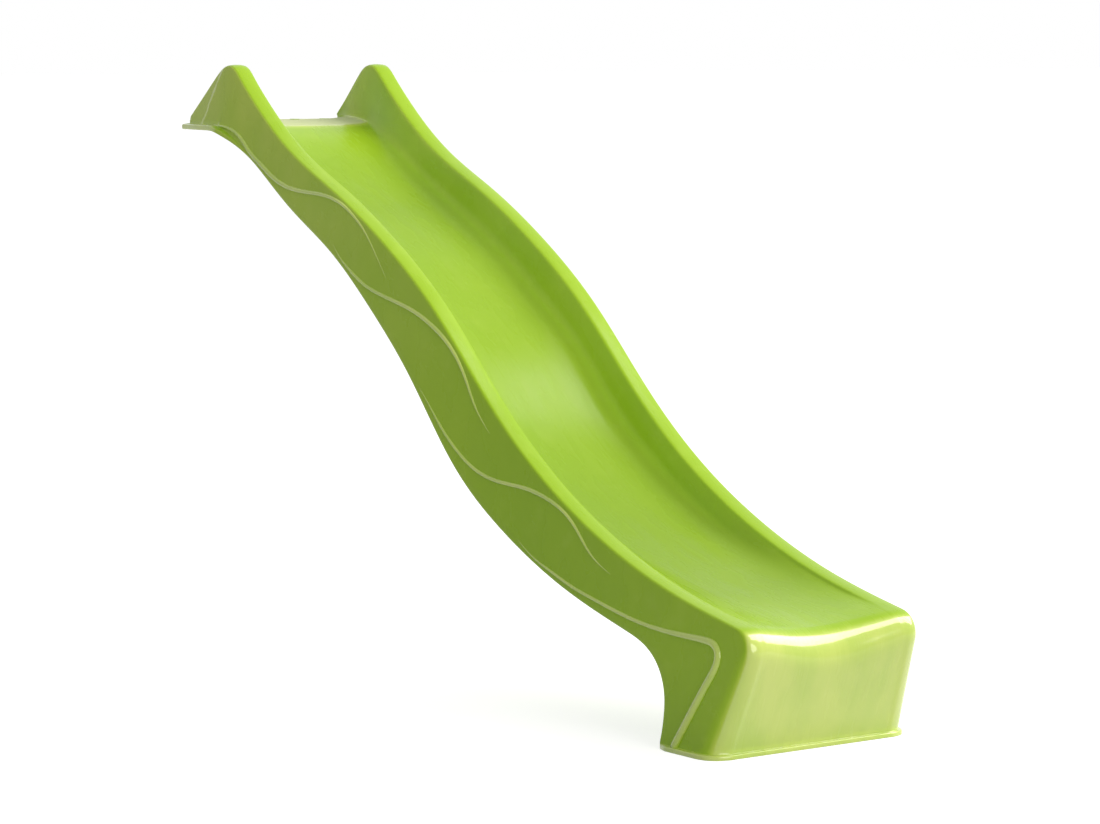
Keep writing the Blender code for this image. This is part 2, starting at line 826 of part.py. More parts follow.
def screw_places():
    """X and Y of each fixing, in one row across the lip."""
    x = BACK + SCREW_ROW_SETBACK
    first = -SCREW_SPACING * (SCREW_COUNT - 1) / 2
    return [(x, first + i * SCREW_SPACING) for i in range(SCREW_COUNT)]


def build_fixings(parts, cutters, top_cut, under_cut):
    """Bushes and countersunk screws of the lip, and the holes they pass through."""
    bush_bottom = PLATFORM_HEIGHT + UNDER_SKIN + SEAM
    flange_bottom = DECK + SEAM
    flange_top = flange_bottom + BUSH_FLANGE
    bore = SCREW_RADIUS + HOLE_PLAY
    seat_depth = SCREW_HEAD_HEIGHT
    seat_radius = SCREW_HEAD_RADIUS + HOLE_PLAY
    bush_profile = (
        (bore, flange_top - seat_depth),
        (seat_radius, flange_top),
        (BUSH_FLANGE_RADIUS - BUSH_FLANGE / 2, flange_top),
        (BUSH_FLANGE_RADIUS, flange_top - BUSH_FLANGE / 2),
        (BUSH_FLANGE_RADIUS, flange_bottom),
        (BUSH_RADIUS, flange_bottom),
        (BUSH_RADIUS, bush_bottom),
        (bore, bush_bottom),
    )
    tip = PLATFORM_HEIGHT - SCREW_BITE
    screw_profile = (
        (0.0, flange_top),
        (SCREW_HEAD_RADIUS, flange_top),
        (SCREW_RADIUS, flange_top - seat_depth),
        (SCREW_RADIUS, tip + SCREW_POINT),
        (0.0, tip),
    )
    for number, (x, y) in enumerate(screw_places(), start=1):
        bush_colour = plastic(f"bush_{number}_plastic", BUSH_LIME, 0.4)
        turned_object(f"lip_bush_{number}", bush_profile, True, x, y, bush_colour, parts)
        steel = metal(f"screw_{number}_steel", STEEL, 0.35)
        screw = turned_object(f"lip_screw_{number}", screw_profile, False, x, y, steel, parts)
        drive = drive_cutter(f"drive_{number}", flange_top, x, y, cutters)
        add_modifier(screw, "BOOLEAN", operation="DIFFERENCE", object=drive, solver="EXACT")
        cylinder_cutter(f"bush_hole_{number}", BUSH_RADIUS + HOLE_PLAY, DECK, ROUND_SIDES, x, y, top_cut)
        cylinder_cutter(f"screw_hole_{number}", bore, PLATFORM_HEIGHT, SMALL_SIDES, x, y, under_cut)


def drive_cutter(name, top, x, y, collection):
    """The cross recess of a screw head."""
    mesh = bpy.data.meshes.new(name)
    work = bmesh.new()
    half = DRIVE_LENGTH / 2
    thin = DRIVE_WIDTH / 2
    corners = (
        (half, thin),
        (thin, thin),
        (thin, half),
        (-thin, half),
        (-thin, thin),
        (-half, thin),
        (-half, -thin),
        (-thin, -thin),
        (-thin, -half),
        (thin, -half),
        (thin, -thin),
        (half, -thin),
    )
    base = [work.verts.new((x + a, y + b, top - DRIVE_DEPTH)) for a, b in corners]
    face = work.faces.new(base)
    raised = bmesh.ops.extrude_face_region(work, geom=[face])
    lifted = [item for item in raised["geom"] if isinstance(item, bmesh.types.BMVert)]
    bmesh.ops.translate(work, verts=lifted, vec=(0.0, 0.0, DRIVE_DEPTH * 2))
    bmesh.ops.recalc_face_normals(work, faces=work.faces[:])
    work.to_mesh(mesh)
    work.free()
    return new_object(name, mesh, None, collection)


def new_collection(name, parent):
    """A collection linked under another."""
    collection = bpy.data.collections.new(name)
    parent.children.link(collection)
    return collection


def hide_cutters(collection):
    """Cutters stay out of the render and show as wires."""
    collection.hide_render = True
    for thing in collection.all_objects:
        thing.hide_render = True
        thing.display_type = "WIRE"


def build():
    """The whole slide."""
    root = bpy.context.scene.collection
    parts = new_collection("playground_slide", root)
    cutters = new_collection("cutters", root)
    rib_shapes = new_collection("rib_shapes", cutters)
    top_cut = new_collection("top_holes", cutters)
    under_cut = new_collection("under_holes", cutters)

    lime = plastic("shell_plastic", SHELL_LIME, 0.3)
    shell = new_object("chute_shell", top_skin_mesh(), lime, parts)
    add_modifier(
        shell, "SOLIDIFY", thickness=TOP_SKIN, offset=-1.0, use_even_offset=True, use_quality_normals=True
    )
    for number, (points, tips) in enumerate(zip(RIBS, RIB_TIP_SCALES), start=1):
        rib_object(f"rib_{number}_left", points, tips, 1.0, rib_shapes)
        rib_object(f"rib_{number}_right", points, tips, -1.0, rib_shapes)

    under_lime = plastic("underside_plastic", UNDERSIDE_LIME, 0.4)
    under = new_object("underside_skin", under_skin_mesh(FOOT_CORNER), under_lime, parts)
    add_modifier(
        under, "SOLIDIFY", thickness=UNDER_SKIN, offset=-1.0, use_even_offset=True, use_quality_normals=True
    )

    build_fixings(parts, cutters, top_cut, under_cut)
    drain_x = along((FOOT_BACK[-1][0] + FOOT_BASE[-1]) / 2)
    for number, hand in enumerate((1.0, -1.0), start=1):
        drain_y = hand * DRAIN_SPACING / 2
        cylinder_cutter(f"drain_{number}", DRAIN_RADIUS, 0.0, SMALL_SIDES, drain_x, drain_y, under_cut)

    for thing, operation, group in (
        (shell, "UNION", rib_shapes),
        (shell, "DIFFERENCE", top_cut),
        (under, "DIFFERENCE", under_cut),
    ):
        add_modifier(
            thing,
            "BOOLEAN",
            operation=operation,
            operand_type="COLLECTION",
            collection=group,
            solver="EXACT",
        )
    hide_cutters(cutters)


for item in list(bpy.data.objects):
    bpy.data.objects.remove(item)
RIMS, FLOORS, LOWERS, NORMALS, DOWNS, FOOT_CORNER = stations()
STYLES = edge_styles(len(RIMS), FOOT_CORNER)
build()
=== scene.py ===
"""Looks of the playground slide: camera, studio, fine plastic skins, ribs and fixings.

Metres, Z up, X runs downhill from the lip to the foot, Y across. The sizes repeat those of the part.
"""

import math

import bmesh
import bpy
import numpy as np
from mathutils import Matrix, Vector
from mathutils.bvhtree import BVHTree


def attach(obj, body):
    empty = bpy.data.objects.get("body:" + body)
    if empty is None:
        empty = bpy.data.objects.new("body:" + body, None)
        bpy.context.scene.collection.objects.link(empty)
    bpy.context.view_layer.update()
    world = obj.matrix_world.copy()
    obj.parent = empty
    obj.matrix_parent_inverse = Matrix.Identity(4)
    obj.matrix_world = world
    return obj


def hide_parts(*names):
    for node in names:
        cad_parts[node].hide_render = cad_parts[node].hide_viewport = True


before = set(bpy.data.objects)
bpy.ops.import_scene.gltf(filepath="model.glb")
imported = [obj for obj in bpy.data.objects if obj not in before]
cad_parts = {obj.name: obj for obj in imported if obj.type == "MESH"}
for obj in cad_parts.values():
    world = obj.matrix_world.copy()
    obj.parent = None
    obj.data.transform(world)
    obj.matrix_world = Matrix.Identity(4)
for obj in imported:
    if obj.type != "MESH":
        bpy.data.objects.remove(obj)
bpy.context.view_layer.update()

# Camera, in metres and degrees, with a lens in millimetres
CAMERA_AT = Vector((7.852, -5.632, 1.728))
CAMERA_YAW = 53.982
CAMERA_PITCH = 6.097
CAMERA_ROLL = 0.301
CAMERA_LENS = 122.41

# Studio: metres, watts, degrees and directions towards each light
FLOOR_SIZE = 160.0
FLOOR_GREY = 0.55
FLOOR_SEEN = 0.76
HORIZON_LIGHT = 0.24
ZENITH_LIGHT = 0.52
KEY_AIM = (1.15, 0.0, 0.25)
KEY_FROM = (0.20, 0.64, 0.74)
KEY_DISTANCE = 12.0
KEY_LENGTH = 7.0
KEY_WIDTH = 9.5
KEY_POWER = 1300.0
FILL_STRENGTH = 1.25
FILL_ANGLE = 40.0
FILL_FROM = (0.94, 0.05, 0.33)
LIGHT_COLOUR = (1.0, 0.96, 0.90)

# Fine skins: rounds of smoothing, and how sharp each kind of edge stays, up to 1
SKIN_LEVELS = 2
FLANGE_CREASE = 0.55
CORNER_CREASE = 0.8
TAIL_CREASE = 0.6
WING_CREASE = 0.5
RIM_END_CREASE = 0.35

# Ribs: shares of each one's length with its width there, then the form across it
RIB_WIDTHS = (
    ((0.0, 0.002), (0.07, 0.008), (0.2, 0.011), (0.4, 0.013), (0.7, 0.009), (1.0, 0.001)),
    ((0.0, 0.001), (0.15, 0.008), (0.6, 0.012), (0.85, 0.007), (1.0, 0.001)),
    ((0.0, 0.001), (0.15, 0.007), (0.6, 0.011), (0.85, 0.007), (1.0, 0.001)),
    ((0.0, 0.001), (0.15, 0.007), (0.50, 0.010), (0.66, 0.016), (0.8, 0.021), (1.0, 0.022)),
)
RIB_SLOPE = 0.85
RIB_SHOULDER = 0.6
RIB_SINK = 0.0002
RIB_ROOT = 0.003
RIB_STEP = 0.006
RIB_ROWS = 11
RIB_EASE = 7

# Colours, as linear values
SHELL_COLOUR = (0.345, 0.560, 0.020)
SHELL_PALE = (0.470, 0.660, 0.090)
SHELL_DEEP = (0.290, 0.500, 0.014)
# Painted sheen and highlight, partly wear: the pale colour of the front, ribs, flanges and crease
SHELL_SHEEN_AND_WEAR = (0.640, 0.750, 0.140)
# Painted shade: the darker colour that shaded places are mixed towards
SHELL_PAINTED_SHADE = (0.170, 0.300, 0.002)
# Painted glare: the whitish colour that stands in for the deck's reflection
DECK_GLARE = (0.600, 0.665, 0.370)
BUSH_COLOUR = (0.300, 0.520, 0.030)
STEEL_COLOUR = (0.62, 0.63, 0.62)

# Tones of painted light and shade, from 0 for painted shade to 1 for painted sheen, by share of the
# slide's length
TROUGH_PAINTED_LIGHT = (
    (0.10, 0.48), (0.16, 0.33), (0.25, 0.24), (0.34, 0.34),
    (0.55, 0.28), (0.70, 0.19), (0.86, 0.24), (0.96, 0.50),
)
WALL_PAINTED_LIGHT = (
    (0.05, 0.78), (0.20, 0.60), (0.45, 0.58), (0.62, 0.52),
    (0.72, 0.42), (0.85, 0.03), (0.95, 0.10),
)
SIDE_PAINTED_LIGHT = (
    (0.00, 0.82), (0.10, 0.80), (0.20, 0.72), (0.38, 0.62),
    (0.50, 0.54), (0.65, 0.50), (0.92, 0.50),
)

# Tones of single places, from 0 for painted shade to 1 for painted sheen, highlight and wear; the
# foot's front by its height, and where one tone turns into the next
RIM_TONE = 0.47
DECK_GLARE_TONE = 1.0
FLANGE_HIGHLIGHT_TONE = 0.90
RIB_HIGHLIGHT_AND_WEAR_TONE = 0.86
CREASE_HIGHLIGHT_TONE = 0.90
UNDER_TONE = 0.48
BUSH_TONE = 0.60
FRONT_SHEEN_TONES = ((0.03, 0.86), (0.18, 0.90))
FRONT_TURN = (0.33, 0.70)
STEEP_TURN = (0.45, 0.85)
CREASE_REACH = 0.003
DECK_END = (-1.065, -1.035)

# Ranges of tone that paint shade, paint sheen and wear, paint the deck's glare and coat the plastic
PAINTED_SHADE_TONES = (0.0, 0.5)
SHEEN_AND_WEAR_TONES = (0.5, 1.0)
DECK_GLARE_TONES = (0.93, 1.0)
COAT_TONES = (0.82, 0.87)

# Patterns: scale, detail, stretch along each axis, shift and roughness
EVEN = (1.0, 1.0, 1.0)
CLOUDS = (2.6, 3.0, EVEN, 1.7, 0.5)
STREAKS = (9.0, 4.0, (1.0, 3.2, 0.35), 4.1, 0.5)
MOTTLE = (22.0, 2.0, EVEN, 7.3, 0.5)
SCUFFS = (160.0, 3.0, (0.10, 1.6, 0.10), 2.2, 0.7)
PATCHES = (8.0, 2.0, (1.0, 1.3, 0.6), 8.8, 0.5)
GRAIN = (900.0, 2.0, EVEN, 0.4, 0.5)
PEEL = (70.0, 2.0, EVEN, 3.3, 0.5)
FILM = (260.0, 3.0, EVEN, 5.0, 0.5)
MARKS = (4200.0, 2.0, (1.0, 1.0, 0.2), 2.0, 0.5)
PATTERN_SHIFT = (1.0, 0.7, 0.3)

# What each pattern does: its own low and high, and what they become
CLOUDS_DEEPEN = (0.38, 0.66, 0.0, 0.45)
STREAKS_PALE = (0.52, 0.78, 0.0, 0.14)
MOTTLE_PALE = (0.55, 0.80, 0.0, 0.20)
# Patches in which the painted sheen and wear show
PATCHES_SHEEN_AND_WEAR = (0.36, 0.64, 0.62, 1.0)
STREAKS_GLOSS = (0.35, 0.70, -0.04, 0.06)
SCUFFS_DULL = (0.56, 0.76, 0.0, 0.03)
FILM_DULL = (0.40, 0.70, 0.0, 0.8)
MARKS_GLOSS = (0.35, 0.65, 0.24, 0.42)

# Bumps: strength and depth
PEEL_BUMP = (0.06, 0.0012)
GRAIN_BUMP = (0.05, 0.0001)
SCUFFS_BUMP = (0.05, 0.0002)
MARKS_BUMP = (0.3, 0.00005)

# Gloss
SHELL_GLOSS = 0.27
UNDER_GLOSS = 0.38
DECK_DULL = 0.35
COAT_GLOSS = 0.11
COAT_IOR = 1.65
BASE_IOR = 1.50
BASE_SPECULAR = 0.20
STEEL_DULL = 0.78

# Overall sizes
SLIDE_LENGTH = 2.503
PLATFORM_HEIGHT = 1.398
RIM_SPREAD = 0.515

# Walls and edges
RIM_WIDTH = 0.055
RIM_ROUNDING = 0.009
RIM_CROWN = 0.0015
WALL_DRAFT = 0.133
DOUBLE_WALL = 0.024
TOP_SKIN = 0.0035
UNDER_SKIN = 0.003
CORNER_ROUNDING = 0.045
FRONT_FLAT = 0.018
FRONT_ROUNDING = 0.058
RUN_OUT_ROUNDING = 0.072
FRONT_LEAN = 0.37
TAIL_TUCK = 0.006

# Flanges round the lip and the foot, and the edge turned under between them
LIP_FLANGE = 0.022
LIP_FLANGE_HEIGHT = 0.015
FOOT_FLANGE = 0.011
FOOT_FLANGE_HEIGHT = 0.012
BACK_FLANGE = 0.006
TURN_UNDER = 0.016
PLAIN_EDGE = 0.012
LIP_FLANGE_FADE = (0.0725, 0.16)
FOOT_CORNER_STYLES = (-1.0, -0.5, 0.0, 0.5, 1.0)
EDGE_ROUNDING = 0.006

# Rails and raised panel of the underside
RAIL_WIDTH = 0.028
PANEL_SLOPE_WIDTH = 0.032
PANEL_EASE_RISE = 0.12
PANEL_EASE_RUN = 0.2
PANEL_FADE = (0.72, 0.84)
FRONT_ROW_SHARES = (1.0, 0.9, 0.86, 0.82, 0.78, 0.0)

# Lip fixings
SCREW_ROW_SETBACK = 0.045
SCREW_SPACING = 0.1
SCREW_COUNT = 4
SCREW_RADIUS = 0.003
SCREW_HEAD_RADIUS = 0.006
SCREW_HEAD_HEIGHT = 0.003
SCREW_BITE = 0.036
SCREW_POINT = 0.006
DRIVE_WIDTH = 0.0012
DRIVE_LENGTH = 0.006
DRIVE_DEPTH = 0.002
BUSH_RADIUS = 0.008
BUSH_FLANGE_RADIUS = 0.014
BUSH_FLANGE = 0.0012

# Drain holes in the foot
DRAIN_RADIUS = 0.004
DRAIN_SPACING = 0.3

# Clearances
SEAM = 0.0003
TWIST_PLAY = 0.001
CORNER_LIFT = 0.0003
HOLE_PLAY = 0.0004

# Fine detail of the fixings
HOLE_SIDES = 64
HOLE_DEPTH = 0.02
BREAK = 0.0003
SHARP = 0.6
SCREW_NECK = 0.012
THREAD_PITCH = 0.0026
THREAD_DEPTH = 0.0008
THREAD_RIDGE = 0.32
THREAD_ROW = 0.0002
THREAD_SIDES = 28
DRIVE_TAPER = 0.6
WELD = 0.00001

# Side outlines, as fractions of the slide's length and of the platform's height
WING_TOP = (
    (0.0024, 1.0283), (0.0204, 1.0572), (0.0384, 1.0864), (0.0565, 1.1155),
    (0.0665, 1.1270), (0.0785, 1.1309), (0.0885, 1.1255), (0.0985, 1.1098),
)
RIM_LINE = (
    (0.1105, 1.0887), (0.1245, 1.0658), (0.1404, 1.0436), (0.1644, 1.0114),
    (0.2283, 0.9449), (0.2922, 0.8959), (0.3562, 0.8387), (0.4201, 0.7715),
    (0.4920, 0.6778), (0.5559, 0.5726), (0.6199, 0.4778), (0.7397, 0.3516),
    (0.8795, 0.2625), (0.9794, 0.2250),
)
FLOOR_LINE = (
    (0.0000, 1.0000), (0.0326, 1.0000), (0.0605, 0.9964), (0.0885, 0.9864),
    (0.1205, 0.9635), (0.1644, 0.9149), (0.2283, 0.8544), (0.2922, 0.8004),
    (0.3562, 0.7411), (0.4201, 0.6674), (0.4920, 0.5783), (0.5559, 0.4682),
    (0.6199, 0.3891), (0.6998, 0.3129), (0.7397, 0.2858), (0.8356, 0.2361),
    (0.9195, 0.2053), (0.9674, 0.1924),
)
LOWER_LINE = (
    (0.0605, 1.0000), (0.0805, 0.9961), (0.1045, 0.9764), (0.1404, 0.9390),
    (0.2123, 0.8574), (0.2922, 0.7851), (0.3801, 0.6755), (0.4600, 0.5535),
    (0.5319, 0.4190), (0.6039, 0.3277), (0.6998, 0.2454), (0.8196, 0.1813),
)
FOOT_BACK = (
    (0.8376, 0.1727), (0.8536, 0.1602), (0.8668, 0.1431), (0.8768, 0.1216),
    (0.8833, 0.0987), (0.8867, 0.0744), (0.8873, 0.0479), (0.8867, 0.0215),
    (0.8867, 0.0000),
)

# Stations down the slide: where each section meets the rim and the lower edge
WING_LOWER = (0.0024, 0.0054, 0.0110, 0.0192, 0.0308, 0.0406, 0.0505, 0.0613)
CREASE_STATION = 4
CHUTE_START = 0.1105
CHUTE_END = 0.8356
CHUTE_STATIONS = 23
SECTION_LEAN = (
    (0.1105, 0.0380), (0.1404, 0.0370), (0.1764, 0.0350), (0.3000, 0.0300),
    (0.4200, 0.0360), (0.5200, 0.0480), (0.6200, 0.0360), (0.7400, 0.0200),
    (0.8356, 0.0160),
)
FOOT_RIM = (0.8616, 0.8855, 0.9075, 0.9255, 0.9395, 0.9515, 0.9614, 0.9694, 0.9754)
FRONT_STEPS = 5
RUN_OUT_END = 0.96
SLOPE_REACH = 0.005
FOOT_BASE = (0.8935, 0.8995, 0.9055, 0.9115, 0.9163, 0.9211, 0.9251, 0.9287, 0.9323, 0.9355)
WALL_STEPS = 4

# Points of a section before its outer rounding, turns of its roundings in degrees, rows of its edge
SIDE_POINTS = 2
ROUNDING_TURNS = (0, 30, 60, 90)
INNER_TURNS = (90, 45, 0)
EDGE_ROWS = 3

# Steps of the two searches along a line
LINE_STEPS = 200
HALVINGS = 60

# Trough: share of the depth, then shares of the rim spread in from the wall at lip, chute, exit, front
TROUGH_ROWS = (
    (0.42, -0.0039, 0.0262, 0.0359, 0.1250),
    (0.62, -0.0058, 0.0379, 0.0942, 0.1850),
    (0.80, -0.0078, 0.0612, 0.1718, 0.2450),
    (0.93, -0.0058, 0.0981, 0.2592, 0.3050),
    (1.00, 0.0262, 0.1524, 0.3369, 0.3600),
)
LIP_BLEND = (0.07, 0.15)
EXIT_BLEND = (0.72, 0.94)
FRONT_BLEND = (0.90, 0.975)
FRONT_EASE = 0.95

# Ribs on the side walls, as fractions of the slide's length and of the platform's height
RIBS = (
    (
        (0.0485, 1.0096), (0.0625, 1.0100), (0.0770, 1.0090), (0.1123, 0.9900),
        (0.1326, 0.9621), (0.1546, 0.9392), (0.1766, 0.9177), (0.2078, 0.8984),
        (0.2373, 0.8920), (0.2777, 0.8870), (0.3080, 0.8734), (0.3292, 0.8548),
        (0.3512, 0.8283), (0.3783, 0.7804), (0.3987, 0.7411),
    ),
    (
        (0.3000, 0.7976), (0.3148, 0.7740), (0.3348, 0.7518), (0.3612, 0.7282),
        (0.3903, 0.7124), (0.4523, 0.6853), (0.4814, 0.6638), (0.5058, 0.6381),
        (0.5274, 0.6044), (0.5441, 0.5665), (0.5597, 0.5272), (0.5853, 0.4828),
    ),
    (
        (0.4710, 0.5508), (0.4906, 0.5193), (0.5130, 0.4821), (0.5378, 0.4478),
        (0.5689, 0.4170), (0.5989, 0.4027), (0.6496, 0.3956), (0.6840, 0.3827),
        (0.7136, 0.3612), (0.7323, 0.3369), (0.7539, 0.3033), (0.7886, 0.2725),
    ),
    (
        (0.6440, 0.3054), (0.6684, 0.2804), (0.7008, 0.2589), (0.7315, 0.2411),
        (0.7675, 0.2260), (0.8082, 0.2110), (0.8450, 0.2010), (0.8817, 0.1965),
        (0.9177, 0.1958), (0.9381, 0.1950), (0.9521, 0.1881), (0.9565, 0.1760),
        (0.9561, 0.1609), (0.9485, 0.1338), (0.9353, 0.0937), (0.9213, 0.0494),
        (0.9086, 0.0088),
    ),
)

# Worked out from the sizes above
BACK = -SLIDE_LENGTH / 2
FRONT = SLIDE_LENGTH / 2
HALF_RIM = RIM_SPREAD / 2
DECK = PLATFORM_HEIGHT + DOUBLE_WALL
FRONT_SECTION = len(WING_TOP) + CHUTE_STATIONS + len(FOOT_RIM)


def along(fraction):
    """X of a fraction of the slide's length."""
    return BACK + fraction * SLIDE_LENGTH


def level(fraction):
    """Z of a fraction of the platform's height."""
    return fraction * PLATFORM_HEIGHT


def natural_spline(knots, values, wanted):
    """A smooth line through the knots, with no bend at its ends."""
    knots = np.asarray(knots, float)
    values = np.asarray(values, float)
    wanted = np.atleast_1d(np.asarray(wanted, float))
    count = len(knots)
    gaps = np.diff(knots)
    matrix = np.eye(count)
    right = np.zeros(count)
    for i in range(1, count - 1):
        matrix[i, i - 1 : i + 2] = (gaps[i - 1], 2 * (gaps[i - 1] + gaps[i]), gaps[i])
        rise = (values[i + 1] - values[i]) / gaps[i] - (values[i] - values[i - 1]) / gaps[i - 1]
        right[i] = 6 * rise
    bends = np.linalg.solve(matrix, right)
    cell = np.clip(np.searchsorted(knots, wanted) - 1, 0, count - 2)
    step = gaps[cell]
    near = wanted - knots[cell]
    far = knots[cell + 1] - wanted
    curve = (bends[cell] * far**3 + bends[cell + 1] * near**3) / (6 * step)
    start = (values[cell] / step - bends[cell] * step / 6) * far
    end = (values[cell + 1] / step - bends[cell + 1] * step / 6) * near
    return curve + start + end


def read(table, at):
    """The value of a table at a place between its rows."""
    places, values = zip(*table)
    return float(np.interp(at, places, values))


def outline(points, x):
    """Z of a fractional outline at X."""
    knots = [along(f) for f, _ in points]
    values = [level(w) for _, w in points]
    return float(natural_spline(knots, values, x)[0])


def rim_z(x):
    """Height of the rim over the chute and the foot."""
    return outline(RIM_LINE, x)


def floor_z(x):
    """Height of the trough's floor on the centre line."""
    return min(outline(FLOOR_LINE, x) + DOUBLE_WALL, DECK)


def lower_z(x):
    """Height of the lower edge of the side walls."""
    if x < along(LOWER_LINE[0][0]):
        return PLATFORM_HEIGHT
    return min(outline(LOWER_LINE, x), PLATFORM_HEIGHT)


def tail_tuck_behind(x, z):
    """How far behind the crease of the wing a point of the side view lies."""
    foot = np.array([along(WING_LOWER[CREASE_STATION]), PLATFORM_HEIGHT])
    head = np.array([along(WING_TOP[CREASE_STATION][0]), level(WING_TOP[CREASE_STATION][1])])
    heading = (head - foot) / np.linalg.norm(head - foot)
    return float(-heading[1] * (x - foot[0]) + heading[0] * (z - foot[1]))


def tail_tuck(x, z):
    """How far the side wall turns inward behind the crease of the wing."""
    full = tail_tuck_behind(along(WING_LOWER[0]), PLATFORM_HEIGHT)
    return TAIL_TUCK * max(tail_tuck_behind(x, z) / full, 0.0)


def wall_y(x, z):
    """Half width of the outside of the side walls, which widen downwards."""
    peak = max(range(len(WING_TOP)), key=lambda i: WING_TOP[i][1])
    falling = [(along(f), level(w)) for f, w in WING_TOP[peak:]]
    falling.append((along(CHUTE_START), rim_z(along(CHUTE_START))))
    rim = rim_z(x) if x > along(CHUTE_START) else read(falling, x)
    return HALF_RIM + WALL_DRAFT * (rim - z) - tail_tuck(x, z)


def smoothstep(low, high, value):
    """A soft step from 0 at low to 1 at high."""
    t = min(max((value - low) / (high - low), 0.0), 1.0)
    return t * t * (3 - 2 * t)


def pointing(angle):
    """The direction of the side view that leans forward from upright by an angle."""
    return np.array([math.sin(angle), math.cos(angle)])


def slope_at(line, x):
    """Slope of a line at X."""
    return (line(x + SLOPE_REACH) - line(x - SLOPE_REACH)) / (2 * SLOPE_REACH)


def floor_arc(front_normal, front_offset):
    """Centre of the rounding between the floor and the front wall, and the floor's tilt there."""
    tilt = math.atan(-slope_at(floor_z, along(RUN_OUT_END)))
    low = 0.0
    high = FRONT
    for _ in range(HALVINGS):
        x = (low + high) / 2
        centre = np.array([x, floor_z(x)]) - RUN_OUT_ROUNDING * pointing(tilt)
        if front_normal @ centre > front_offset - RUN_OUT_ROUNDING:
            high = x
        else:
            low = x
    return centre, tilt


def front_profiles():
    """Rim, floor and direction of each section over the foot's front: rounding, then leaning wall."""
    lean = math.atan(FRONT_LEAN)
    normal = np.array([math.cos(lean), -math.sin(lean)])
    rim_tilt = math.atan(-slope_at(rim_z, FRONT - FRONT_ROUNDING))
    rim_x = FRONT - FRONT_ROUNDING - RIM_CROWN
    tangent_x = rim_x + FRONT_ROUNDING * math.sin(rim_tilt)
    rim_centre = np.array([rim_x, rim_z(tangent_x) - FRONT_ROUNDING * math.cos(rim_tilt)])
    offset = normal @ rim_centre + FRONT_ROUNDING
    floor_centre, floor_tilt = floor_arc(normal, offset)
    last = math.pi / 2 + lean
    result = []
    for step in range(FRONT_STEPS + 1):
        share = step / FRONT_STEPS
        toward = pointing(rim_tilt + share * (last - rim_tilt))
        floor = floor_centre + RUN_OUT_ROUNDING * pointing(floor_tilt + share * (last - floor_tilt))
        result.append((rim_centre + FRONT_ROUNDING * toward, floor, toward))
    rim_end, floor_end, _ = result[-1]
    foot_point = rim_end + np.array([FRONT_LEAN, 1.0]) * (FOOT_FLANGE_HEIGHT - rim_end[1])
    for step in range(1, WALL_STEPS + 1):
        share = step / WALL_STEPS
        toward = normal * (1 - share) + np.array([1.0, 0.0]) * share
        rim = rim_end + share * (foot_point - rim_end)
        floor = floor_end + share * (foot_point - floor_end)
        result.append((rim, floor, toward / np.linalg.norm(toward)))
    return result


def stations():
    """Rim, floor and lower points of every section, with their directions."""
    rims = [np.array([along(f), level(w)]) for f, w in WING_TOP]
    lowers = [np.array([along(f), PLATFORM_HEIGHT]) for f in WING_LOWER]
    for f in np.linspace(CHUTE_START, CHUTE_END, CHUTE_STATIONS):
        rims.append(np.array([along(f), rim_z(along(f))]))
        low = along(f - read(SECTION_LEAN, f))
        lowers.append(np.array([low, lower_z(low)]))
    for f, back in zip(FOOT_RIM, FOOT_BACK):
        rims.append(np.array([along(f), rim_z(along(f))]))
        lowers.append(np.array([along(back[0]), level(back[1])]))
    floors = [floor_on_line(rim, low) for rim, low in zip(rims, lowers)]
    normals = path_normals(rims)
    normals[0] = np.array([0.0, 1.0])
    for (rim, floor, normal), f in zip(front_profiles(), FOOT_BASE):
        rims.append(rim)
        floors.append(floor)
        normals.append(normal)
        lowers.append(np.array([along(f), 0.0]))
    downs = [-n for n in path_normals(lowers)]
    corner = len(WING_TOP) + CHUTE_STATIONS + len(FOOT_BACK) - 1
    lowers[corner] = np.array([lowers[corner][0], CORNER_LIFT])
    downs[corner] = np.array([0.0, -1.0])
    downs[corner - 1] = (downs[corner - 2] + downs[corner]) / math.sqrt(2)
    return rims, floors, lowers, normals, downs, corner


def floor_on_line(rim, low):
    """Where the straight line from the rim to the lower edge crosses the floor."""
    previous = 0.0
    for t in np.linspace(0.0, 1.0, LINE_STEPS + 1):
        point = rim + t * (low - rim)
        if point[1] <= floor_z(point[0]):
            break
        previous = t
    start = rim + previous * (low - rim)
    return np.array([start[0], floor_z(start[0])])


def path_normals(points):
    """Unit normals of a path in the side view, a quarter turn left of its heading."""
    result = []
    for i, _ in enumerate(points):
        ahead = points[min(i + 1, len(points) - 1)]
        behind = points[max(i - 1, 0)]
        heading = (ahead - behind) / np.linalg.norm(ahead - behind)
        result.append(np.array([-heading[1], heading[0]]))
    return result


def edge_styles():
    """Flange (1), plain (0) or turned-under (-1) edge at each station, and its reach and height."""
    lip_end, turned = (along(f) for f in LIP_FLANGE_FADE)
    styles = []
    for k, low in enumerate(LOWERS):
        place = k - FOOT_CORNER + len(FOOT_CORNER_STYLES) // 2
        if place >= 0:
            style = FOOT_CORNER_STYLES[place] if place < len(FOOT_CORNER_STYLES) else 1.0
            styles.append((style, FOOT_FLANGE, FOOT_FLANGE_HEIGHT))
        else:
            share = min(max((low[0] - lip_end) / (turned - lip_end), 0.0), 1.0)
            styles.append((1.0 - 2.0 * share, LIP_FLANGE, LIP_FLANGE_HEIGHT))
    return styles


def flange_profile(reach, height):
    """How far out and how high each row of a flange lies."""
    turn = min(EDGE_ROUNDING / 2, reach)
    return ((0.0, height), (reach - turn, height), (reach, height - turn), (reach, 0.0))


